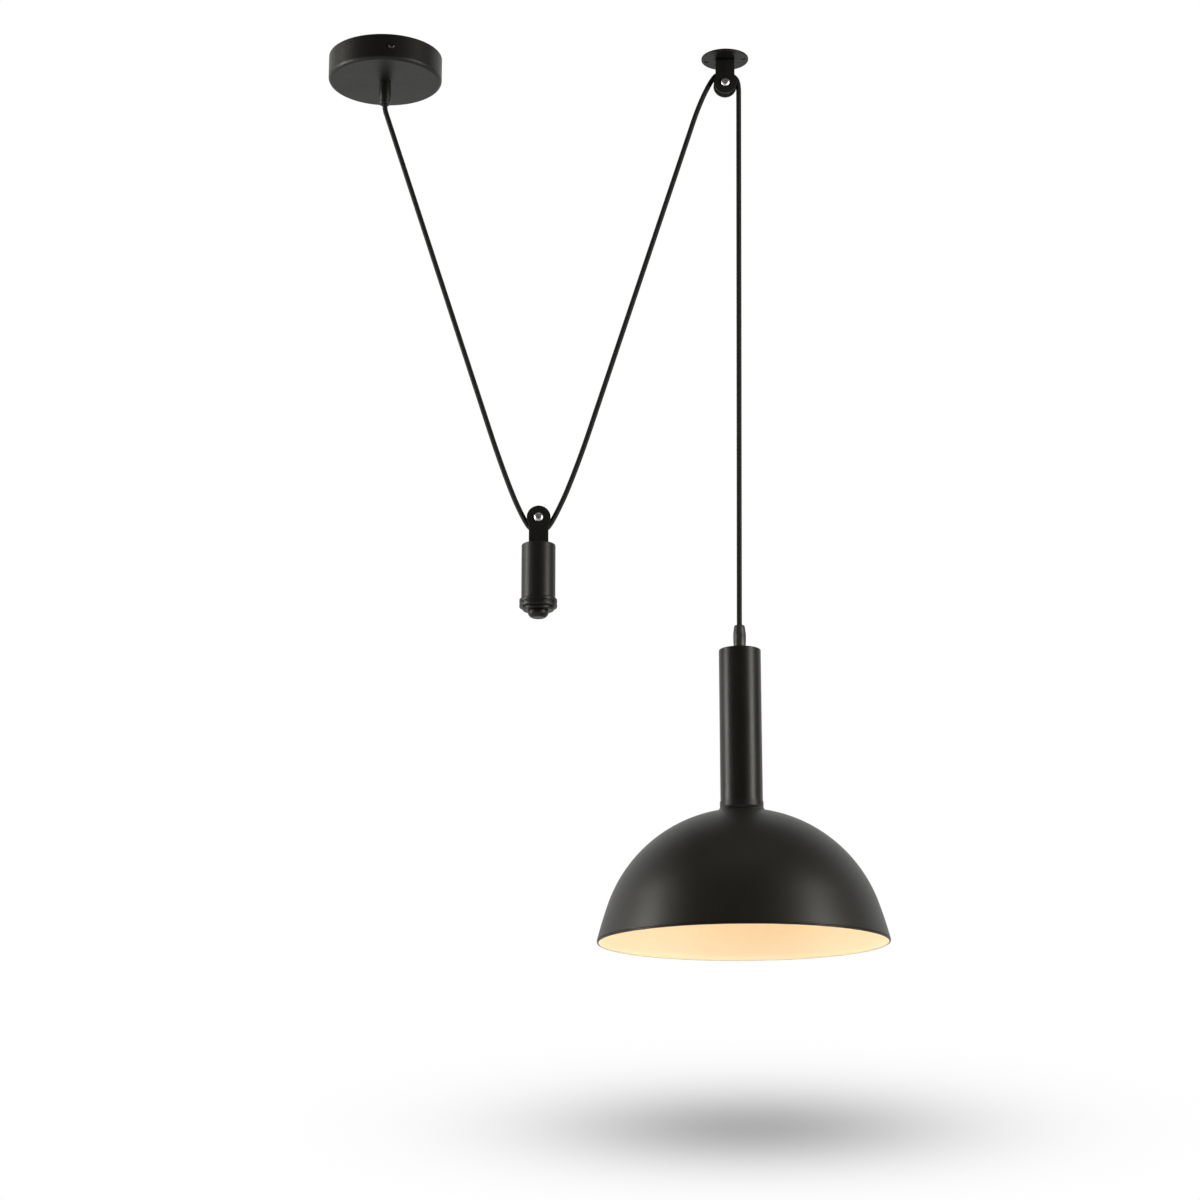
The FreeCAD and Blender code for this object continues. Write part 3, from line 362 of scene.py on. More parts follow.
def rounded(corners, size, steps=5, closed=True):
    """An outline with its corners rounded.

    Round corner B with neighbours A and C, the curve is (1-t)²P + 2t(1-t)B + t²Q, where P and Q lie on the two
    sides at the corner's size from B, or at 0.4 of the side if that is less."""
    corner = np.array(corners, float)
    size = np.broadcast_to(np.array(size, float), (len(corner),)).copy()
    if not closed:
        size[[0, -1]] = 0.0
    back = np.roll(corner, 1, axis=0) - corner
    ahead = np.roll(corner, -1, axis=0) - corner
    back_length = np.linalg.norm(back, axis=1)
    ahead_length = np.linalg.norm(ahead, axis=1)
    reach = np.minimum(size, 0.4 * np.minimum(back_length, ahead_length))
    back_unit = back / np.maximum(back_length, 1e-9)[:, None]
    ahead_unit = ahead / np.maximum(ahead_length, 1e-9)[:, None]
    start = corner + back_unit * reach[:, None]
    end = corner + ahead_unit * reach[:, None]
    t = np.linspace(0, 1, steps)[None, :, None]
    curve = (1 - t) ** 2 * start[:, None] + 2 * t * (1 - t) * corner[:, None] + t**2 * end[:, None]
    before = corner + back_unit * (reach * 1.2)[:, None]
    after = corner + ahead_unit * (reach * 1.2)[:, None]
    return without_doubles(np.concatenate([before[:, None], curve, after[:, None]], axis=1).reshape(-1, 2), 1e-4)


def arc(start, end, radius, steps=24):
    """Points on the circle of this radius from start to end. Its centre is on the left of the way for a positive
    radius and on the right for a negative one: centre + radius (cos a, sin a), with a between the ends' angles."""
    start, end = np.array(start, float), np.array(end, float)
    half = (end - start) / 2
    span = np.linalg.norm(half)
    side = np.array([-half[1], half[0]]) / span
    centre = start + half + side * math.copysign(math.sqrt(radius**2 - span**2), radius)
    first = math.atan2(*(start - centre)[::-1])
    turn = math.atan2(*(end - centre)[::-1]) - first
    turn = (turn + math.pi) % (2 * math.pi) - math.pi
    angle = first + turn * np.linspace(0, 1, steps)
    return centre + abs(radius) * np.column_stack([np.cos(angle), np.sin(angle)])


def lathe(name, profile, place, around=96, along="Z", ripple=None, closed=True, row_finish=None):
    """A turned piece. Point (i, a) is place + (r cos a, r sin a, h) for a profile of (r, h) in millimetres.

    Along Y the height points at the viewer: place + (r cos a, -h, r sin a). ripple(r, h, a) may change r, which
    cuts flats, ribs or a thread."""
    radius, height = profile[:, :1], profile[:, 1:]
    angle = np.linspace(0, 2 * math.pi, around, endpoint=False)[None, :]
    radius = radius + 0 * angle if ripple is None else ripple(radius, height, angle)
    height = height + 0 * angle
    side, other = radius * np.cos(angle), radius * np.sin(angle)
    parts = (side, other, height) if along == "Z" else (side, -height, other)
    points = np.stack(parts, axis=2) * MM + np.array(place)
    return grid_piece(name, points, close_rows=closed, close_columns=True, row_finish=row_finish)


# %% [markdown]
# ## Swept tubes
#
# The cord and the wires inside are round tubes along a line. At each point of the line a circle stands square to
# it. The circle's two directions come from the line's own direction and one fixed side that no part of the line
# runs along, so the tube doesn't twist. The texture goes once round, and along by the real length, so a braid
# keeps its scale on every stretch.

# %% Tubes along a line


def unit(vectors):
    """The vectors' directions: each one over its own length."""
    return vectors / np.linalg.norm(vectors, axis=1)[:, None]


def swept_tube(name, line, radius, side=(0, 1.0, 0), around=20):
    """Point (s, a) is line(s) + radius (cos a · u + sin a · v), with u square to the line and the fixed side, and
    v square to both. The first and last circle shrink to a point, which closes the tube."""
    ahead = unit(np.gradient(line, axis=0))
    across = unit(np.cross(ahead, np.array(side)))
    up = np.cross(across, ahead)
    distance = length_along(line)
    rows = np.concatenate([[0], np.arange(len(line)), [len(line) - 1]])
    size = np.full(len(rows), radius)
    size[[0, -1]] = 0.0
    angle = np.linspace(0, 2 * math.pi, around, endpoint=False)
    ring = np.cos(angle)[None, :, None] * across[rows, None] + np.sin(angle)[None, :, None] * up[rows, None]
    points = line[rows, None] + ring * size[:, None, None]
    turns = np.linspace(0, 1, around + 1)
    reach = distance[rows] / (2 * math.pi * radius)
    uv = np.stack(np.meshgrid(turns, reach), axis=2)
    return grid_piece(name, points, close_columns=True, uv=uv)


# %% [markdown]
# ## Shader maths in plain Python
#
# Most nodes of a material only add or multiply, and a formula written node by node is hard to read. The small
# class below wraps one output of the graph, so that `speck * 0.2 + 0.4` adds its Math nodes by itself. Every other
# node comes from one method.

# %% Node graphs


def maths(operation, turned=False):
    """A method that adds a Math node with this operation, with the value itself first or, if turned, last."""
    if turned:
        return lambda value, other: value.work(operation, other, value)
    return lambda value, *others: value.work(operation, value, *others)


class Value:
    """A number that changes over the surface: one output of a node graph, with the usual arithmetic."""

    def __init__(self, graph, socket):
        self.graph = graph
        self.socket = socket

    def work(self, operation, *values):
        """A Math node with this operation on these values, in order."""
        return self.graph.node("Math", {"operation": operation}, dict(enumerate(values)))

    __add__ = __radd__ = maths("ADD")
    __sub__ = maths("SUBTRACT")
    __rsub__ = maths("SUBTRACT", turned=True)
    __mul__ = __rmul__ = maths("MULTIPLY")
    __truediv__ = maths("DIVIDE")
    __rtruediv__ = maths("DIVIDE", turned=True)
    __pow__ = maths("POWER")
    __abs__ = maths("ABSOLUTE")
    sine = maths("SINE")
    exponential = maths("EXPONENT")
    larger = maths("MAXIMUM")
    smaller = maths("MINIMUM")


class Graph:
    """The node graph of one material or world."""

    def __init__(self, name, library=bpy.data.materials, output="OutputMaterial"):
        self.owner = library.new(name)
        self.owner.use_nodes = True
        self.tree = self.owner.node_tree
        self.tree.nodes.clear()
        self.output = self.add(output)

    def add(self, kind):
        """Adds a shader node of this kind."""
        return self.tree.nodes.new(f"ShaderNode{kind}")

    def finish(self, surface):
        """Sends a shader to the graph's output, and returns the finished material or world."""
        self.feed(self.output.inputs["Surface"], surface)
        return self.owner

    def node(self, kind, settings=None, values=None, output=0):
        """Adds one node: first its settings, then the values or links of its sockets. Returns one output."""
        made = self.add(kind)
        for name, setting in (settings or {}).items():
            if name == "stops":
                self.set_stops(made.color_ramp.elements, setting)
            else:
                setattr(made, name, setting)
        for name, value in (values or {}).items():
            self.feed(made.inputs[name], value)
        return Value(self, made.outputs[output])

    def set_stops(self, elements, stops):
        """Gives a colour ramp its stops, each (place, brightness)."""
        while len(elements) < len(stops):
            elements.new(1.0)
        for element, (place, level) in zip(elements, stops):
            element.position = place
            element.color = (level, level, level, 1)

    def feed(self, socket, value):
        """Links a value to a socket, or sets the socket to a plain number, place or colour (red, green, blue)."""
        if isinstance(value, Value):
            self.tree.links.new(value.socket, socket)
        else:
            socket.default_value = (*value, 1.0) if socket.type == "RGBA" else value

    def principled(self, **values):
        """Ends the graph in a Principled shader. Its values have underscores for the spaces in their names."""
        values = {name.replace("_", " "): value for name, value in values.items()}
        return self.finish(self.node("BsdfPrincipled", None, values))

    def place(self, stretch=(1, 1, 1), shift=(0, 0, 0)):
        """Where on the piece, in metres, after a stretch and a shift."""
        here = self.node("TexCoord", output="Object")
        return self.node("Mapping", None, {"Vector": here, "Location": shift, "Scale": stretch})

    def noise(self, where, scale, detail=2.0, roughness=0.5):
        """Smooth noise from 0 to 1. Its spots are about one over the scale across, in metres."""
        values = {"Vector": where, "Scale": scale, "Detail": detail, "Roughness": roughness}
        return self.node("TexNoise", None, values)

    def ramp(self, value, *stops):
        """The value sent through a ramp of (place, brightness) stops."""
        return self.node("ValToRGB", {"stops": stops}, {"Fac": value})

    def blend(self, share, first, second):
        """A colour between two colours."""
        values = {"Factor": share, 6: first, 7: second}
        return self.node("Mix", {"data_type": "RGBA"}, values, output=2)

    def parts(self, vector):
        """The X, Y and Z of a vector as three values."""
        split = self.node("SeparateXYZ", None, {"Vector": vector})
        outputs = split.socket.node.outputs
        return [Value(self, outputs[axis]) for axis in "XYZ"]

    def bump(self, height, depth):
        """A normal from a height between 0 and 1, which stands for depth in metres."""
        return self.node("Bump", None, {"Height": height, "Distance": depth})

    def ray(self, kind):
        """1 for a light path's ray of this kind, such as Camera, and 0 for all others."""
        return self.node("LightPath", output=f"Is {kind} Ray")

    def mix_shaders(self, share, first, second):
        """A shader between two shaders."""
        return self.node("MixShader", None, {0: share, 1: first, 2: second})


# %% [markdown]
# ## Powder coat
#
# The canopy, the forks, the weight, the tube and the outside of the shade have one finish: a baked powder coat,
# nearly black and a little warm. The powder melts into a fine orange peel, which breaks the edge of each
# reflection, and its gloss drifts a little over a hand's width. So there are three scales of noise: a broad one
# for colour and gloss, a middle one for faint handling marks, and a fine one for the peel. The drawn tube came
# out a little glossier and the spun shade a little paler, so each has its own mix of the same coat.

# %% Powder coat


def powder_coat(name, dark, pale, gloss=0.44, peel=0.07):
    """Near-black paint. dark and pale are the ends of its colour, and gloss is the middle of its roughness."""
    graph = Graph(name)
    where = graph.place()
    broad = graph.noise(where, 14.0, 3.0)
    marks = graph.noise(where, 260.0, 4.0, 0.65)
    fine = graph.noise(where, 1900.0, 1.0)
    return graph.principled(
        Base_Color=graph.blend(broad * 0.6 + marks * 0.4, dark, pale),
        Roughness=broad * 0.08 + marks * 0.16 + (gloss - 0.12),
        Normal=graph.bump(fine * 0.7 + marks * 0.3, peel * MM),
        Specular_IOR_Level=0.24,
    )


BLACK_COAT = powder_coat("black_powder_coat", (0.0045, 0.0045, 0.0037), (0.0090, 0.0088, 0.0073))
TUBE_COAT = powder_coat("tube_powder_coat", (0.0040, 0.0040, 0.0030), (0.0100, 0.0098, 0.0076), gloss=0.37)
SHADE_COAT = powder_coat("shade_powder_coat", (0.0080, 0.0080, 0.0064), (0.0150, 0.0148, 0.0120))

# %% [markdown]
# ## Enamel inside the shade
#
# The inside is a warm white enamel that throws the light down, and most of its brightness comes from the bulb.
# The sprayed coat shows a slight mottle and faint rings from spinning the dome, which follow the distance from
# the lamp's axis. A weak glow stands for the light that bounces many times between the walls, and a paler band
# just above the rim is painted light.

# %% Cream enamel
LAMP_X = 384.4 * MM
RIM_Z = -981.7 * MM
RIM_LIGHT_BAND = 40 * MM
RING_WAVES = 2600.0
CREAM = (0.92, 0.79, 0.60)


def cream_enamel():
    """Warm white paint with faint spinning rings round the lamp's axis, and a paler band of painted light just above
    the rim.
    """
    graph = Graph("cream_enamel")
    x, y, z = graph.parts(graph.place(shift=(-LAMP_X, 0, 0)))
    from_axis = (x * x + y * y) ** 0.5
    rings = ((from_axis + z) * RING_WAVES).sine() * 0.5 + 0.5
    mottle = graph.noise(graph.place(), 90.0, 4.0)
    # Painted light: the colour turns paler in a band just above the rim.
    painted_rim_light = ((z - RIM_Z) / RIM_LIGHT_BAND + mottle * 0.1 - 0.05).larger(0).smaller(1.0)
    warm = graph.blend(mottle * 0.7 + rings * 0.3, (0.90, 0.76, 0.57), CREAM)
    return graph.principled(
        Base_Color=graph.blend(painted_rim_light, (0.93, 0.84, 0.69), warm),
        Roughness=mottle * 0.12 + 0.42,
        Normal=graph.bump(rings * 0.35 + mottle * 0.65, 0.04 * MM),
        Emission_Color=graph.blend(mottle, (1.0, 0.72, 0.40), (1.0, 0.76, 0.45)),
        Emission_Strength=0.20,
    )


CREAM_ENAMEL = cream_enamel()

# %% [markdown]
# ## Plated steel and brass
#
# The axle screws, nuts, the bracket and the hollow stems are zinc plated: a cool silver with a soft sheen and
# small cloudy patches. The two screws in the canopy's wall are black oxide, so only a tiny glint gives them away.
# The contacts and the screw shell are plain brass, which dulls unevenly. A metal's colour is in its reflection,
# so the noise works on the roughness.

# %% Metals


def plated(name, first, second, rough=0.30, cloud=160.0):
    """A bare metal whose sheen and colour drift in small clouds."""
    graph = Graph(name)
    where = graph.place()
    clouds = graph.noise(where, cloud, 4.0, 0.6)
    grain = graph.noise(graph.place(stretch=(1, 1, 14)), 900.0, 2.0)
    return graph.principled(
        Base_Color=graph.blend(clouds, first, second),
        Metallic=1.0,
        Roughness=clouds * 0.16 + grain * 0.08 + (rough - 0.12),
        Normal=graph.bump(grain, 0.02 * MM),
    )


ZINC = plated("zinc_plated_steel", (0.44, 0.45, 0.46), (0.60, 0.60, 0.59), rough=0.42)
BLACK_OXIDE = plated("black_oxide_steel", (0.030, 0.030, 0.030), (0.055, 0.054, 0.052), rough=0.32)
BRASS = plated("plain_brass", (0.62, 0.44, 0.17), (0.76, 0.57, 0.26), rough=0.34)
BULB_METAL = plated("bulb_aluminium", (0.66, 0.66, 0.66), (0.80, 0.80, 0.79), rough=0.26)
RAW_STEEL = plated("sawn_steel", (0.30, 0.29, 0.28), (0.42, 0.41, 0.39), rough=0.45, cloud=60.0)

# %% [markdown]
# ## Moulded plastics, porcelain and opal glass
#
# The holder is a black moulding with a fine spark-eroded grain, the terminal block is white, the wires have
# coloured sleeves, and the holder's insert is glazed porcelain with tiny specks. The bulb's globe is opal glass
# that glows evenly because the light scatters inside it.

# %% Plastics, porcelain and glass


def moulded(name, first, second, rough=0.45, grain=0.03, scale=1300.0):
    """A moulded plastic: two close colours, a fine grain, and a gloss that the grain breaks."""
    graph = Graph(name)
    where = graph.place()
    fine = graph.noise(where, scale, 2.0)
    broad = graph.noise(where, 40.0, 3.0)
    return graph.principled(
        Base_Color=graph.blend(broad * 0.5 + fine * 0.5, first, second),
        Roughness=fine * 0.14 + broad * 0.06 + (rough - 0.10),
        Normal=graph.bump(fine, grain * MM),
    )


BLACK_PLASTIC = moulded("black_moulding", (0.012, 0.012, 0.012), (0.022, 0.021, 0.020))
WHITE_PLASTIC = moulded("white_moulding", (0.72, 0.71, 0.66), (0.80, 0.79, 0.75), rough=0.40)
PORCELAIN = moulded("glazed_porcelain", (0.74, 0.72, 0.66), (0.84, 0.83, 0.78), rough=0.16, grain=0.01,
                    scale=500.0)
WIRES = {
    "live": ("brown_wire", moulded("brown_sleeve", (0.10, 0.035, 0.014), (0.14, 0.05, 0.02), rough=0.38)),
    "neutral": ("blue_wire", moulded("blue_sleeve", (0.01, 0.06, 0.32), (0.02, 0.09, 0.42), rough=0.38)),
    "earth": ("green_wire", moulded("green_sleeve", (0.07, 0.26, 0.02), (0.10, 0.34, 0.03), rough=0.38)),
}

NECK_Z = -860 * MM
NECK_FADE = 40 * MM


def opal_glass():
    """White glass that glows warm, a little less at its neck, where less of the light reaches it."""
    graph = Graph("opal_glass")
    _, _, z = graph.parts(graph.place())
    down = ((NECK_Z - z) / NECK_FADE).larger(0).smaller(1.0)
    cloud = graph.noise(graph.place(), 120.0, 2.0)
    return graph.principled(
        Base_Color=graph.blend(cloud, (0.84, 0.82, 0.78), (0.90, 0.88, 0.84)),
        Roughness=cloud * 0.06 + 0.12,
        Emission_Color=graph.blend(down, (0.55, 0.40, 0.25), (1.0, 0.80, 0.56)),
        Emission_Strength=5.4,
    )


OPAL_GLASS = opal_glass()

# %% [markdown]
# ## The braided cord
#
# The cord has a black braided sleeve: two sets of flat strands run round it in opposite directions, over and
# under each other. On the tube's texture that is two slanted waves. Where one wave is high its strand lies on top,
# so the larger of the two is the height, and the colour is painted darker in the gaps between strands as shade.

# %% Braid
BRAID_STRANDS = 8
BRAID_PITCH = 0.55


def braided_sleeve():
    """Height = the larger of |sin(u + v)| and |sin(u - v)|, with u round the cord and v along it."""
    graph = Graph("braided_sleeve")
    spot = graph.node("TexCoord", output="UV")
    u, v, _ = graph.parts(spot)
    round_it = u * (math.pi * BRAID_STRANDS)
    along_it = v * (math.pi * BRAID_STRANDS * BRAID_PITCH)
    first = abs((round_it + along_it).sine())
    second = abs((round_it - along_it).sine())
    top = first.larger(second)
    threads = ((round_it * 9.0 + along_it * 9.0).sine() * 0.5 + 0.5) * 0.25
    height = top * 0.8 + threads * 0.8
    lint = graph.noise(graph.place(), 700.0, 3.0)
    # Painted shade: the colour darkens in the gaps between strands, where the lower strands lie in shade.
    painted_gap_shade = graph.ramp(top, (0.62, 0), (0.98, 1.0))
    return graph.principled(
        Base_Color=graph.blend(painted_gap_shade, (0.0040, 0.0038, 0.0034), (0.0105, 0.0101, 0.0090)),
        Roughness=lint * 0.15 + 0.55,
        Normal=graph.bump(height, 0.09 * MM),
        Specular_IOR_Level=0.20,
        Sheen_Weight=0.03,
        Sheen_Roughness=0.4,
    )


BRAID = braided_sleeve()

# %% [markdown]
# ## Putting a piece in place
#
# Each finished piece rides on a CAD body, stands for one or more CAD nodes, and names the record's material slot
# that it takes its finish from. CAD nodes whose shape is already right stay and only get a material.

# %% Fitting pieces and dressing nodes
made = []


def fit(piece, body, nodes, slot, *finishes):
    """Gives a piece its finishes, lets it stand for CAD nodes, and lets it ride on a body."""
    for finish in finishes:
        piece.data.materials.append(finish)
    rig.replaces(piece, *nodes)
    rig.slot(piece, slot)
    if body is not None:
        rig.ride(piece, body)
    made.append(piece)
    return piece


def fit_coated(piece, body, node):
    """Fits a piece that has the black powder coat."""
    fit(piece, body, [node], "black_paint", BLACK_COAT)


def dress(finish, *nodes):
    """Gives CAD nodes that stay a finish of their own."""
    for node in nodes:
        mesh = frame["nodes"][node].data
        mesh.materials.clear()
        mesh.materials.append(finish)


def upright(node):
    """The axis (x, y), foot and top of an upright round node, and its radius and height in millimetres, from its
    CAD box."""
    low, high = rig.box(node)
    middle = (low + high) / 2
    return (middle.x, middle.y), low.z, high.z, (high.x - low.x) / 2 / MM, (high.z - low.z) / MM


# %% [markdown]
# ## The cord
#
# The five stretches meet end to end. The two round a wheel ride with that wheel's carrier. The three straight
# ones bend between two bodies: near the top they follow the ceiling, near the bottom the weight or the lamp.

# %% The five stretches
CORD_HOLDS = {
    "cord_canopy_stretch": (0.503, "ceiling", "weight_hanger"),
    "cord_under_weight_wheel": (0.049, "weight_hanger"),
    "cord_rising_stretch": (0.523, "weight_hanger", "ceiling"),
    "cord_over_ceiling_wheel": (0.058, "ceiling"),
    "cord_lamp_stretch": (0.610, "ceiling", "lamp"),
}

for name, (length, *bodies) in CORD_HOLDS.items():
    line = cord_lines[name]
    ride_on = bodies[0] if len(bodies) == 1 else None
    cord = fit(swept_tube(f"{name}_braid", line, CORD_RADIUS), ride_on, [name], "cord_braid", BRAID)
    if ride_on is None:
        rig.blend(cord, *bodies, start=line[0], end=line[-1])
    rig.cord(cord, exit=line[0], length=length, diameter=2 * CORD_RADIUS, far_end="object",
            stiffness="medium", lay="taut", path=line)

# %% [markdown]
# ## The shade
#
# The dome was spun from sheet on a lathe. Its line is a flat seat at the top, a round crown about a centre on the
# axis, and a steeper skirt that is nearly straight. The inner line is the outer one moved inwards along its
# normals by the millimetre of the wall. A cut edge of thin sheet would cut fingers, so the rim is rolled in to a
# small round bead. The rows outside and round the bead get the black coat, the inside the enamel.

# %% The dome
SHADE_WALL = 1.0
BEAD = 1.15
SHADE_HOLE = 19.6
SHADE_SEAT = 26.0
SKIRT_HEIGHT = 36.5
SKIRT_FLARE = 10.25
SKIRT_CURVE = 450.0
BEAD_FROM, BEAD_TO = 0.35 * math.pi, -1.15 * math.pi
BLACK_BEAD_ROWS = 15


def dome():
    """A closed profile: seat, crown arc, skirt arc, bead, and back inside along the line moved in by the wall."""
    (x, y), _, top, rim, height = upright("shade")
    rim = round(rim)
    start = (rim - SKIRT_FLARE, SKIRT_HEIGHT - height)
    centre = (start[0] ** 2 - SHADE_SEAT**2 + start[1] ** 2) / (2 * start[1])
    crown_radius = math.hypot(SHADE_SEAT, centre)
    seat = np.linspace((SHADE_HOLE, 0), (SHADE_SEAT, 0), 5)[:-1]
    crown = arc((SHADE_SEAT, 0), start, -crown_radius, 72)
    skirt = arc(start, (rim, 2 * BEAD - height), -SKIRT_CURVE, 18)[1:]
    outside = np.concatenate([seat, crown, skirt])
    along = unit(np.gradient(outside, axis=0))
    inside = (outside + np.column_stack([along[:, 1], -along[:, 0]]) * SHADE_WALL)[::-1]
    inside = inside[inside[:, 1] > 2 * BEAD - height + 0.4]
    angle = np.linspace(BEAD_FROM, BEAD_TO, 24)[:, None]
    middle = np.array([rim - BEAD, BEAD - height])
    bead = middle + BEAD * np.column_stack([np.cos(angle), np.sin(angle)])
    profile = np.concatenate([outside, bead, inside])
    dark = len(outside) + BLACK_BEAD_ROWS
    finish = np.concatenate([np.zeros(dark), np.ones(len(profile) - dark - 1), [0]]).astype(int)
    return lathe("shade_dome", profile, (x, y, top), around=224, row_finish=finish)


shade = fit(dome(), "lamp", ["shade"], "painted_aluminium", SHADE_COAT, CREAM_ENAMEL)
print(f"the shade has {len(shade.data.polygons)} faces")

# %% [markdown]
# ## The tube and its collar
#
# The tube is drawn, with a flat top and a small round at its edge. At its foot a narrow collar flares out on to
# the dome. Both are plain profiles, and the rounded corners draw the thin bright lines seen in the photograph.

# %% Tube and collar


def tube():
    """A tube closed at the top but for the stem's hole."""
    (x, y), _, top, radius, length = upright("lamp_tube")
    hole, wall, lid = 5.1, 1.2, 1.5
    corners = [(hole, 0), (radius, 0), (radius, -length), (radius - wall, -length), (radius - wall, -lid),
               (hole, -lid)]
    return lathe("tube_shell", rounded(corners, [0.1, 1.1, 0.3, 0.3, 0.6, 0.1], steps=7), (x, y, top), around=144)


def collar():
    """A ring whose outside curves out into a foot."""
    (x, y), foot, _, radius, height = upright("tube_collar")
    outer, bore = radius - 1.0, radius - 5.4
    neck = bore + 0.55
    flare = arc((outer, 0.6), (neck, 4.6), -6.0, 12)
    corners = np.vstack([(bore, 0), (outer, 0), flare, (neck, height), (bore, height)])
    size = np.hstack([0.1, 0.25, np.full(12, 0.05), 0.5, 0.2])
    return lathe("tube_foot_collar", rounded(corners, size), (x, y, foot), around=144)


fit(tube(), "lamp", ["lamp_tube"], "painted_aluminium", TUBE_COAT)
fit_coated(collar(), "lamp", "tube_collar")

# %% [markdown]
# ## Cord grips
#
# The two grips are alike: a body that widens to a soft ridge, has eight small flats for the fingers, and tapers
# to a blunt nose where the cord comes out. A flat is a plane at a fixed distance from the axis, so the radius
# can't be more than that distance over cos a, with a from the middle of the nearest flat. The canopy's grip is
# sprayed with the cup. The lamp's is bare moulding, a little paler.

# %% Grips
GRIP_FLAT = 6.65
FLATS_MIDDLE, FLATS_HALF = 13.5, 12.0
GRIP_BORE = 2.9


def flats(radius, height, angle):
    """radius, but no more than flat / cos(a - nearest flat), with eight flats between the foot and the nose."""
    step = math.pi / 4
    off = (angle + step / 2) % step - step / 2
    plane = GRIP_FLAT / np.cos(off)
    wall = (np.abs(np.abs(height) - FLATS_MIDDLE) < FLATS_HALF) & (radius > GRIP_BORE + 2.1)
    return np.where(wall, np.minimum(radius, plane), radius + 0 * angle)


def grip(node, turned_over):
    """The grip's profile from foot to nose, its taper cut into short steps. The canopy's hangs upside down."""
    (x, y), foot, top, _, _ = upright(node)
    lower = np.linspace((6.1, 0), (7.0, 14.5), 10)
    upper = np.linspace((7.0, 14.5), (5.8, 24.6), 9)[1:]
    corners = np.vstack([(GRIP_BORE, 0), lower, upper, (5.3, 26.4), (GRIP_BORE, 26.4)])
    size = np.hstack([0.1, 0.3, np.full(8, 0.1), 0.9, np.full(7, 0.1), 0.7, 0.8, 0.3])
    way, start = (-1, top) if turned_over else (1, foot)
    return lathe(f"{node}_body", rounded(corners, size) * [1, way], (x, y, start), around=128, ripple=flats)


fit_coated(grip("canopy_cord_grip", True), "ceiling", "canopy_cord_grip")
fit(grip("lamp_cord_grip", False), "lamp", ["lamp_cord_grip"], "black_paint", BLACK_PLASTIC)

# %% [markdown]
# ## The canopy
#
# The cup was pressed from sheet, so its floor turns into its wall in one even bend. The bracket, the terminal
# block and the screws inside keep their CAD shapes and get their own finishes.

# %% Canopy cup and what is in it
CANOPY_TURN = math.radians(10.7)


def cup():
    """Wall and floor of one thickness with a round bend between them, outer and inner."""
    (x, y), _, top, _, height = upright("canopy_cup")
    radius, wall, bend, hole = 62.5, 1.2, 4.0, 5.2
    outer = arc((radius - bend, -height), (radius, bend - height), bend, 14)
    inner = arc((radius - wall, bend - height), (radius - bend, wall - height), wall - bend, 10)
    corners = np.vstack([(hole, -height), outer, (radius, 0), (radius - wall, 0), inner, (hole, wall - height)])
    size = np.hstack([0.2, np.full(14, 0.05), 0.35, 0.35, np.full(10, 0.05), 0.2])
    return lathe("canopy_shell", rounded(corners, size), (x, y, top), around=192)


fit_coated(cup(), "ceiling", "canopy_cup")
dress(ZINC, "mounting_bracket", "canopy_stem", "canopy_stem_nut")
dress(BLACK_OXIDE, "side_screws")
dress(WHITE_PLASTIC, "terminal_block")
dress(BRASS, "terminal_screws", "earth_post")


def turned_points(points):
    """Points in the canopy's own directions, which are turned about Z, as points of the lamp, in metres."""
    points = np.array(points, float) * MM
    x, y, z = points.T
    c, s = math.cos(CANOPY_TURN), math.sin(CANOPY_TURN)
    return np.column_stack([x * c - y * s, x * s + y * c, z])


def wire(kind, place, body, points, side):
    """One insulated wire along a smooth line."""
    node = f"{place}_{kind}_wire"
    line = smooth_line(node, points)
    piece = swept_tube(f"{node}_sleeve", line, 1.0 * MM, side=side, around=14)
    slot, finish = WIRES[kind]
    fit(piece, body, [node], slot, finish)


for kind, side in (("live", -1.0), ("neutral", 1.0)):
    wire(kind, "canopy", "ceiling", turned_points([(1.3 * side, 0.75, -16.0), (1.3 * side, 0.75, -8.8),
                                                   (9.5 * side, 6.5, -8.8), (9.5 * side, 12.0, -8.8)]),
         (1.0, 0, 0))
wire("earth", "canopy", "ceiling", turned_points([(0, -1.5, -16.0), (0, -1.5, -6.0), (0, -16.0, -6.0)]),
     (1.0, 0, 0))

# %% [markdown]
# ## Forks
#
# Each fork is one strap, stamped with a round ear at both ends and bent into a U. Its surface is a rounded
# rectangle carried along the bent middle line. The strap's half width is the neck's, and near each end it is the
# ear's circle, √(R² - z²), so the last section closes to a line.

# %% Forks
EAR_RADIUS = 12.7
NECK_HALF = 10.3
FORK_WALL = 2.0
FORK_GAP = 9.0
FORK_REACH = 29.0
FORK_BEND = 1.5
FORK_EDGE = 0.35
EAR_TO_NECK = math.sqrt(EAR_RADIUS**2 - NECK_HALF**2)


def strap_line():
    """Middle line (y, z) of half the strap, from the tip of one ear up to the middle of the web."""
    leg = (FORK_GAP + FORK_WALL) / 2
    joint = EAR_TO_NECK
    swing = np.linspace(-math.pi / 2, math.asin(joint / EAR_RADIUS), 26)
    ear = np.column_stack([np.full(26, -leg), EAR_RADIUS * np.sin(swing)])
    web = FORK_REACH - FORK_WALL / 2
    neck = np.linspace((-leg, joint), (-leg, web - FORK_BEND), 7)[1:]
    bend = arc((-leg, web - FORK_BEND), (FORK_BEND - leg, web), -FORK_BEND, 9)[1:]
    top = np.linspace((FORK_BEND - leg, web), (0, web), 4)[1:]
    return np.concatenate([ear, neck, bend, top])


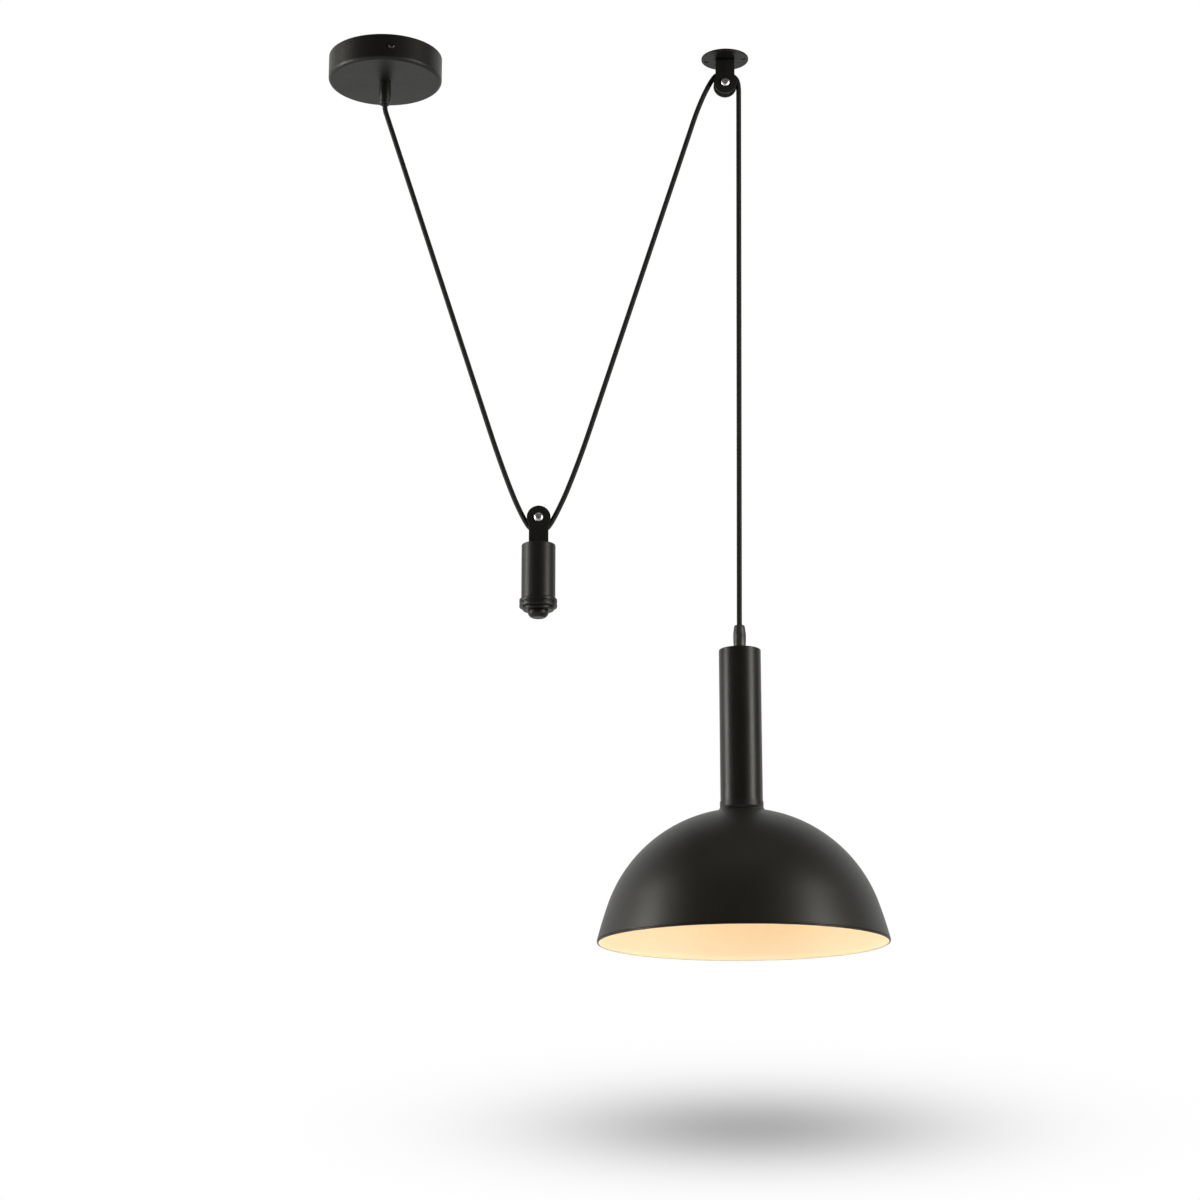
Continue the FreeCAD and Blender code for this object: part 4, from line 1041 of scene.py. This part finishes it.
def strap(name, node, upside_down):
    """Point (s, k) is line(s) + across · u(k) · halfwidth(s) + normal(s) · v(k), where (u, v) goes round a
    rectangle whose corners are quarter circles."""
    half = strap_line()
    line = np.concatenate([half, (half * [-1, 1])[::-1][1:]])
    ahead = unit(np.gradient(line, axis=0))
    normal = np.column_stack([-ahead[:, 1], ahead[:, 0]])
    z = line[:, 1]
    width = np.where(z < EAR_TO_NECK, np.sqrt(np.maximum(EAR_RADIUS**2 - z**2, 0)), NECK_HALF)
    turn = (np.arange(4)[:, None] * math.pi / 2 + np.linspace(0, math.pi / 2, 5)).ravel()
    u_sign, v_sign = np.repeat([1, -1, -1, 1], 5), np.repeat([1, 1, -1, -1], 5)
    u_shift = FORK_EDGE * (np.cos(turn) - u_sign)
    v = FORK_EDGE * np.sin(turn) + v_sign * (FORK_WALL / 2 - FORK_EDGE)
    across = u_sign[None, :] * width[:, None] + u_shift[None, :] * np.minimum(1.0, width / 2.0)[:, None]
    points = np.stack([across,
                       line[:, :1] + normal[:, :1] * v[None, :],
                       line[:, 1:] + normal[:, 1:] * v[None, :]], axis=2)
    low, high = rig.box(node)
    axle_z = high.z - EAR_RADIUS * MM if upside_down else low.z + EAR_RADIUS * MM
    if upside_down:
        points = points * [1, -1, -1]
    place = np.array([(low.x + high.x) / 2, 0, axle_z])
    return grid_piece(name, points * MM + place, close_columns=True)


fit_coated(strap("ceiling_fork_strap", "ceiling_fork", False), "ceiling", "ceiling_fork")
fit_coated(strap("weight_fork_strap", "weight_fork", True), "counterweight", "weight_fork")

# %% [markdown]
# ## Wheels
#
# The wheels are turned too, about +Y, with a groove as round as the cord. The flange, the rivet and the axles keep
# their CAD shapes.

# %% Wheels


def pulley_wheel(node):
    """A wheel about Y: hub, sunk web, and a rim with a half-round groove."""
    low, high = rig.box(node)
    place = (low + high) / 2
    half = (high.y - low.y) / 2 / MM
    rim, bore, hub, root, sink = 12.0, 3.55, 5.5, 9.95, 1.2
    groove = arc((rim, -2.88), (rim, 2.88), -3.05, 25)
    side = np.array([(bore, half), (hub, half), (hub + sink, half - sink), (root - sink, half - sink), (root, half),
                     (rim, half)])
    corners = np.vstack([side * [1, -1], groove, side[::-1]])
    size = np.hstack([np.full(7, 0.3), np.full(23, 0.02), np.full(7, 0.3)])
    return lathe(f"{node}_turned", rounded(corners, size), tuple(place), around=96, along="Y")


fit_coated(pulley_wheel("ceiling_wheel"), "ceiling_wheel", "ceiling_wheel")
fit_coated(pulley_wheel("weight_wheel"), "weight_wheel", "weight_wheel")
dress(BLACK_COAT, "ceiling_flange")
dress(ZINC, "fork_rivet", "ceiling_axle_screw", "ceiling_axle_nut", "ceiling_axle_sleeve",
      "weight_axle_screw", "weight_axle_nut", "weight_axle_sleeve", "weight_fork_screw")

# %% [markdown]
# ## The counterweight
#
# A painted sleeve hides a bar of solid steel. Below it is a wider collar with a groove round its middle, then a
# smaller disc and a tapered knob. The four are turned pieces on one axis. The bar stays as its CAD node.

# %% Weight sleeve, collar, disc and knob


def weight_pieces():
    """The three profiles of sleeve, collar and disc, each from its own CAD box, in order from the top."""
    (x, y), _, top, radius, length = upright("weight_housing")
    radius, hole, wall = round(radius, 1), 2.6, 2
    sleeve = rounded([(hole, 0), (radius, 0), (radius, -length), (radius - wall, -length), (radius - wall, -wall),
                      (hole, -wall)], [0.1, 1.2, 0.3, 0.2, 0.5, 0.1], steps=7)
    yield "weight_sleeve", "weight_housing", sleeve, (x, y, top)

    (x, y), _, top, radius, height = upright("weight_collar")
    outer, wall, groove = round(radius, 1), 4, 0.9
    middle = -height / 2
    ring = rounded([(outer - wall, 0), (outer, 0), (outer, middle + groove), (outer - groove, middle + 0.35),
                    (outer - groove, middle - 0.35), (outer, middle - groove), (outer, -height),
                    (outer - wall, -height)], [0.2, 1.2, 0.25, 0.15, 0.15, 0.25, 1.2, 0.2], steps=7)
    yield "weight_ring", "weight_collar", ring, (x, y, top)

    (x, y), _, top, radius, height = upright("weight_end_cap")
    outer, hole = round(radius, 1), 3.05
    disc = rounded([(hole, 0), (outer, 0), (outer, -height), (hole, -height)], [0.1, 0.2, 1.2, 0.1], steps=7)
    yield "weight_disc", "weight_end_cap", disc, (x, y, top)


for name, node, profile, place in weight_pieces():
    fit_coated(lathe(name, profile, place, around=128), "counterweight", node)


def knob():
    """A tapered knob with a stud that screws up into the bar."""
    (x, y), foot, _, radius, _ = upright("weight_knob")
    wide = round(radius, 2)
    bulge = arc((wide - 4.2, 1.6), (wide, 5.6), 7.5, 12)
    corners = np.vstack([(0, 1.6), bulge, (wide, 9.3), (3.0, 9.3), (3.0, 23.5), (0, 23.5)])
    size = np.hstack([0, 1.2, np.full(10, 0.05), 0.5, 0.6, 0.2, 0.4, 0])
    return lathe("weight_finger_knob", rounded(corners, size, closed=False), (x, y, foot), around=96, closed=False)


fit_coated(knob(), "counterweight", "weight_knob")
dress(RAW_STEEL, "weight_core")

# %% [markdown]
# ## The lamp holder
#
# The holder clamps the shade: its shoulder sits on the shade's seat, and a ribbed ring is screwed up from below
# on to the holder's thread. Thread and ribs are ripples of the turned surface. A thread's ripple climbs once a
# turn, so it depends on height and angle together.

# %% Holder, shade ring and screw shell
HOLDER_PITCH = 2.5
BULB_PITCH = 3.63


def outer_thread(radius, height, angle):
    """A wave 0.3 mm high that climbs one pitch each turn, on the skirt's outside below the shade."""
    wave = 0.3 * np.cos(2 * math.pi * height / HOLDER_PITCH - angle)
    outside = (radius > 18.4) & (height < -3.0)
    return np.where(outside, radius - 0.3 + wave, radius + 0 * angle)


def ribs(radius, height, angle):
    """Forty small ribs on the outside of the shade ring's flange and skirt."""
    return np.where(radius > 21.3, radius + 0.35 * np.cos(40 * angle) - 0.35, radius + 0 * angle)


def lamp_thread(radius, height, angle):
    """The rolled thread of a bulb cap and its shell."""
    wave = 0.45 * np.cos(2 * math.pi * height / BULB_PITCH - angle) - 0.45
    return np.where(radius > 10.5, radius + wave, radius + 0 * angle)


def holder_pieces():
    """Name, node, profile, place and ripple of each turned piece of the holder."""
    (x, y), foot, _, _, height = upright("holder_cap")
    dome_in = arc((13.0, height - 5.8), (17.2, height - 10.0), -4.2, 8)
    dome_out = arc((19.0, height - 10.0), (13.0, height - 4.0), 6.0, 10)
    corners = np.vstack([(17.2, 0), (19.0, 0), dome_out, (8.0, height - 4.0), (8.0, height), (5.05, height),
                         (5.05, height - 5.8), dome_in])
    size = np.hstack([0.2, 0.3, np.full(10, 0.05), 0.5, 0.4, 0.3, 0.2, np.full(8, 0.05)])
    yield ("holder_top", "holder_cap", rounded(corners, size), (x, y, foot), None)

    _, foot, top, _, _ = upright("holder_skirt")
    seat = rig.box("shade")[1].z
    low, high = (foot - seat) / MM, (top - seat) / MM
    threads = np.linspace((19.0, low + 0.6), (19.0, -0.4), 70)
    corners = np.vstack([(17.2, low), (18.6, low), threads, (20.4, 0), (20.4, 3.0), (19.0, 3.0), (19.0, high),
                         (17.2, high)])
    size = np.hstack([0.2, 0.2, np.full(70, 0.02), 0.2, 0.4, 0.2, 0.2, 0.2])
    yield ("holder_body", "holder_skirt", rounded(corners, size), (x, y, seat), outer_thread)

    _, _, top, _, height = upright("shade_ring")
    corners = [(19.2, -height), (21.4, -height), (21.4, -2.0), (25.3, -2.0), (25.3, 0), (19.2, 0)]
    yield ("shade_clamp_ring", "shade_ring", rounded(corners, [0.3, 0.5, 0.3, 0.5, 0.4, 0.2]), (x, y, top), ribs)


for name, node, profile, place, ripple in holder_pieces():
    fit(lathe(name, profile, place, around=160, ripple=ripple), "lamp", [node], "black_plastic", BLACK_PLASTIC)


def screw_shell():
    """Thin brass shell with the rolled thread, open at both ends."""
    (x, y), foot, _, radius, height = upright("holder_shell")
    outer = round(radius, 1)
    outside = np.linspace((outer, 0), (outer, height), 60)
    inside = np.linspace((outer - 0.4, height), (outer - 0.4, 0), 60)
    return lathe("holder_screw_shell", np.vstack([outside, inside]), (x, y, foot), around=96, ripple=lamp_thread)


fit(screw_shell(), "lamp", ["holder_shell"], "brass", BRASS)
dress(PORCELAIN, "holder_insert")
dress(BRASS, "holder_contact")
dress(ZINC, "lamp_stem", "lamp_stem_nut")

# %% [markdown]
# ## Cord tails and wires
#
# Inside each grip the sleeve ends, and three thin wires go on to their terminals. They are tubes on splines, too.

# %% Cord tails and lamp wires
for node, body in (("cord_lamp_tail", "lamp"), ("cord_canopy_tail", "ceiling")):
    low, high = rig.box(node)
    middle = (low + high) / 2
    line = np.linspace((middle.x, 0, high.z), (middle.x, 0, low.z), 5)
    fit(swept_tube(f"{node}_braid", line, CORD_RADIUS), body, [node], "cord_braid", BRAID)

for kind, angle in (("live", 210), ("neutral", 330), ("earth", 90)):
    way = np.array([math.cos(math.radians(angle)), math.sin(math.radians(angle))])
    start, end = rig.box("cord_lamp_tail")[0].z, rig.box("holder_insert")[1].z
    drop = (start - end) * 0.3
    points = np.array([(*(way * 1.5 * MM), start), (*(way * 1.5 * MM), start - drop),
                       (*(way * 8 * MM), end + drop), (*(way * 8 * MM), end)]) + [LAMP_X, 0, 0]
    wire(kind, "lamp", "lamp", points, (-way[1], way[0], 0))

# %% [markdown]
# ## The bulb
#
# A round opal bulb hangs in the dome, too high to be seen from the camera. Its neck and globe are one blown
# surface: a neck that widens in a hollow curve and runs into the sphere. The metal cap carries the same rolled
# thread as the shell.

# %% Bulb


def bulb_glass():
    """Neck arc, then the sphere down to the axis, and the same inside, 1.2 mm smaller."""
    (x, y), _, top, _, length = upright("bulb_neck")
    radius, shoulder, wall = 30.0, 26.5, 1.2
    centre = -length - math.sqrt(radius**2 - shoulder**2)
    neck = arc((13.5, 0), (shoulder, -length), 60.0, 22)
    first = math.asin((-length - centre) / radius)
    angle = np.linspace(first, -math.pi / 2, 50)[1:]
    ball = np.column_stack([radius * np.cos(angle), centre + radius * np.sin(angle)])
    outside = np.concatenate([neck, ball])
    inner_ball = np.column_stack([(radius - wall) * np.cos(angle), centre + (radius - wall) * np.sin(angle)])
    inside = np.concatenate([inner_ball[::-1], (neck - [wall, 0])[::-1]])
    return lathe("bulb_opal_glass", np.concatenate([outside, inside]), (x, y, top), around=128)


def bulb_cap():
    """Closed screw cap, from its open foot up over the top to the axis."""
    (x, y), foot, _, radius, height = upright("bulb_cap")
    outer = round(radius, 1)
    wall = np.linspace((outer, 0), (outer, height - 2.0), 64)
    hood = [(outer - 2.0, height), (0, height), (0, height - 0.8), (outer - 2.8, height - 0.8)]
    inner = np.linspace((outer - 0.8, height - 2.8), (outer - 0.8, 0), 64)
    return lathe("bulb_screw_cap", np.vstack([wall, hood, inner]), (x, y, foot), around=96, ripple=lamp_thread)


fit(bulb_glass(), "bulb", ["bulb_neck", "bulb_globe"], "opal_glass", OPAL_GLASS)
fit(bulb_cap(), "bulb", ["bulb_cap"], "bulb_metal", BULB_METAL)
dress(BULB_METAL, "bulb_tip")
print(f"{len(made)} pieces made")

# %% [markdown]
# ## Room and light
#
# The photograph is a studio picture on white, with a soft grey patch of shadow below the lamp. A far wall is
# white to the camera and to mirror rays and carries that patch, and a pale floor lies well under the lamp. The
# light comes from a dim white surround, a faint box above, and two tall soft boxes to the left and right, which
# draw the bright lines down the tube and the weight.

# %% Wall and floor
MIDDLE = (0.3, 0, -0.6)
WALL_Y = 4.2
FLOOR_Z = -2.6
PATCH_AT = (0.6174, -0.9075)
PATCH_SIZE = (0.534, 0.100)
PATCH_DEPTH = 0.571
WHITE, PALE, BLACK = (1, 1, 1), (0.8, 0.8, 0.8), (0, 0, 0)


def white_to_camera(name, tint=None, glow_share=1.0):
    """White to the camera, to mirror rays and through glass, an ordinary pale surface to all other light, and
    clear from behind, so that a camera under the floor still sees the lamp. Where the glow's share is under 1
    the rest of it is the pale surface itself, which keeps the lamp's shadow."""
    graph = Graph(name)
    seen = graph.ray("Camera").larger(graph.ray("Glossy")).larger(graph.ray("Transmission"))
    glow = graph.node("Emission", None, {"Color": tint(graph) if tint else WHITE})
    pale = graph.node("BsdfDiffuse", None, {"Color": PALE})
    front = graph.mix_shaders(seen * glow_share, pale, glow)
    behind = graph.node("NewGeometry", output="Backfacing")
    return graph.finish(graph.mix_shaders(behind, front, graph.node("BsdfTransparent")))


def patch_tint(graph):
    """Grey in a soft ellipse: depth times e to the -d², with d the distance from its middle over its size."""
    x, _, z = graph.parts(graph.place())
    across = (x - PATCH_AT[0]) / PATCH_SIZE[0]
    down = (z - PATCH_AT[1]) / PATCH_SIZE[1]
    dark = ((across * across + down * down) * -1.0).exponential() * PATCH_DEPTH
    return graph.blend(dark, WHITE, BLACK)


def sheet(name, corners, finish):
    """A flat sheet from its four corners, as a grid of two rows and two columns, with its face to the lamp."""
    points = np.array(corners, float).reshape(2, 2, 3)
    piece = grid_piece(name, points)
    to_lamp = np.array(MIDDLE) - points.mean(axis=(0, 1))
    if np.dot(piece.data.polygons[0].normal, to_lamp) < 0:
        piece.data.flip_normals()
    piece.data.materials.append(finish)
    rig.stage(piece)


sheet("studio_wall", [(-9, WALL_Y, FLOOR_Z), (9, WALL_Y, FLOOR_Z), (-9, WALL_Y, 6), (9, WALL_Y, 6)],
      white_to_camera("wall_white", patch_tint))
sheet("studio_floor", [(-9, -9, FLOOR_Z), (9, -9, FLOOR_Z), (-9, WALL_Y, FLOOR_Z), (9, WALL_Y, FLOOR_Z)],
      white_to_camera("floor_white", glow_share=0.75))

# %% World and lamps
WORLD_LEVEL = 0.10
WARM_WHITE = (1.0, 0.965, 0.89)


def surround():
    """A dim white room: full white to the camera, WORLD_LEVEL to everything else."""
    graph = Graph("studio", bpy.data.worlds, "OutputWorld")
    room = graph.node("Background", None, {"Color": WARM_WHITE, "Strength": WORLD_LEVEL})
    bright = graph.node("Background", None, {"Color": WHITE, "Strength": 1.0})
    return graph.finish(graph.mix_shaders(graph.ray("Camera"), room, bright))


def soft_box(name, place, size, power):
    """A rectangular area lamp that faces the middle of the room."""
    data = bpy.data.lights.new(name, "AREA")
    data.shape = "RECTANGLE"
    data.size, data.size_y = size
    data.energy = power
    data.color = WARM_WHITE
    lamp = bpy.data.objects.new(name, data)
    lamp.location = place
    lamp.rotation_euler = (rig.Vector(MIDDLE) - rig.Vector(place)).to_track_quat("-Z", "Y").to_euler()
    scene.collection.objects.link(lamp)


scene.world = surround()
soft_box("left_box", (-1.65, -0.10, -0.5), (0.4, 1.9), 52)
soft_box("right_box", (2.10, -0.90, -0.5), (0.4, 1.9), 50)
soft_box("top_box", (0.3, -0.8, 2.4), (2.4, 1.6), 8)
scene.view_settings.view_transform = "Standard"

# %% Sizes of the CAD box and of the finished box
new_low, new_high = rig.bounds()
with open("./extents.json", "w") as size_file:
    json.dump({"cad": [list(cad_low), list(cad_high)], "visual": [list(new_low), list(new_high)]}, size_file)
print("cad", [round(v, 4) for v in (*cad_low, *cad_high)])
print("now", [round(v, 4) for v in (*new_low, *new_high)])
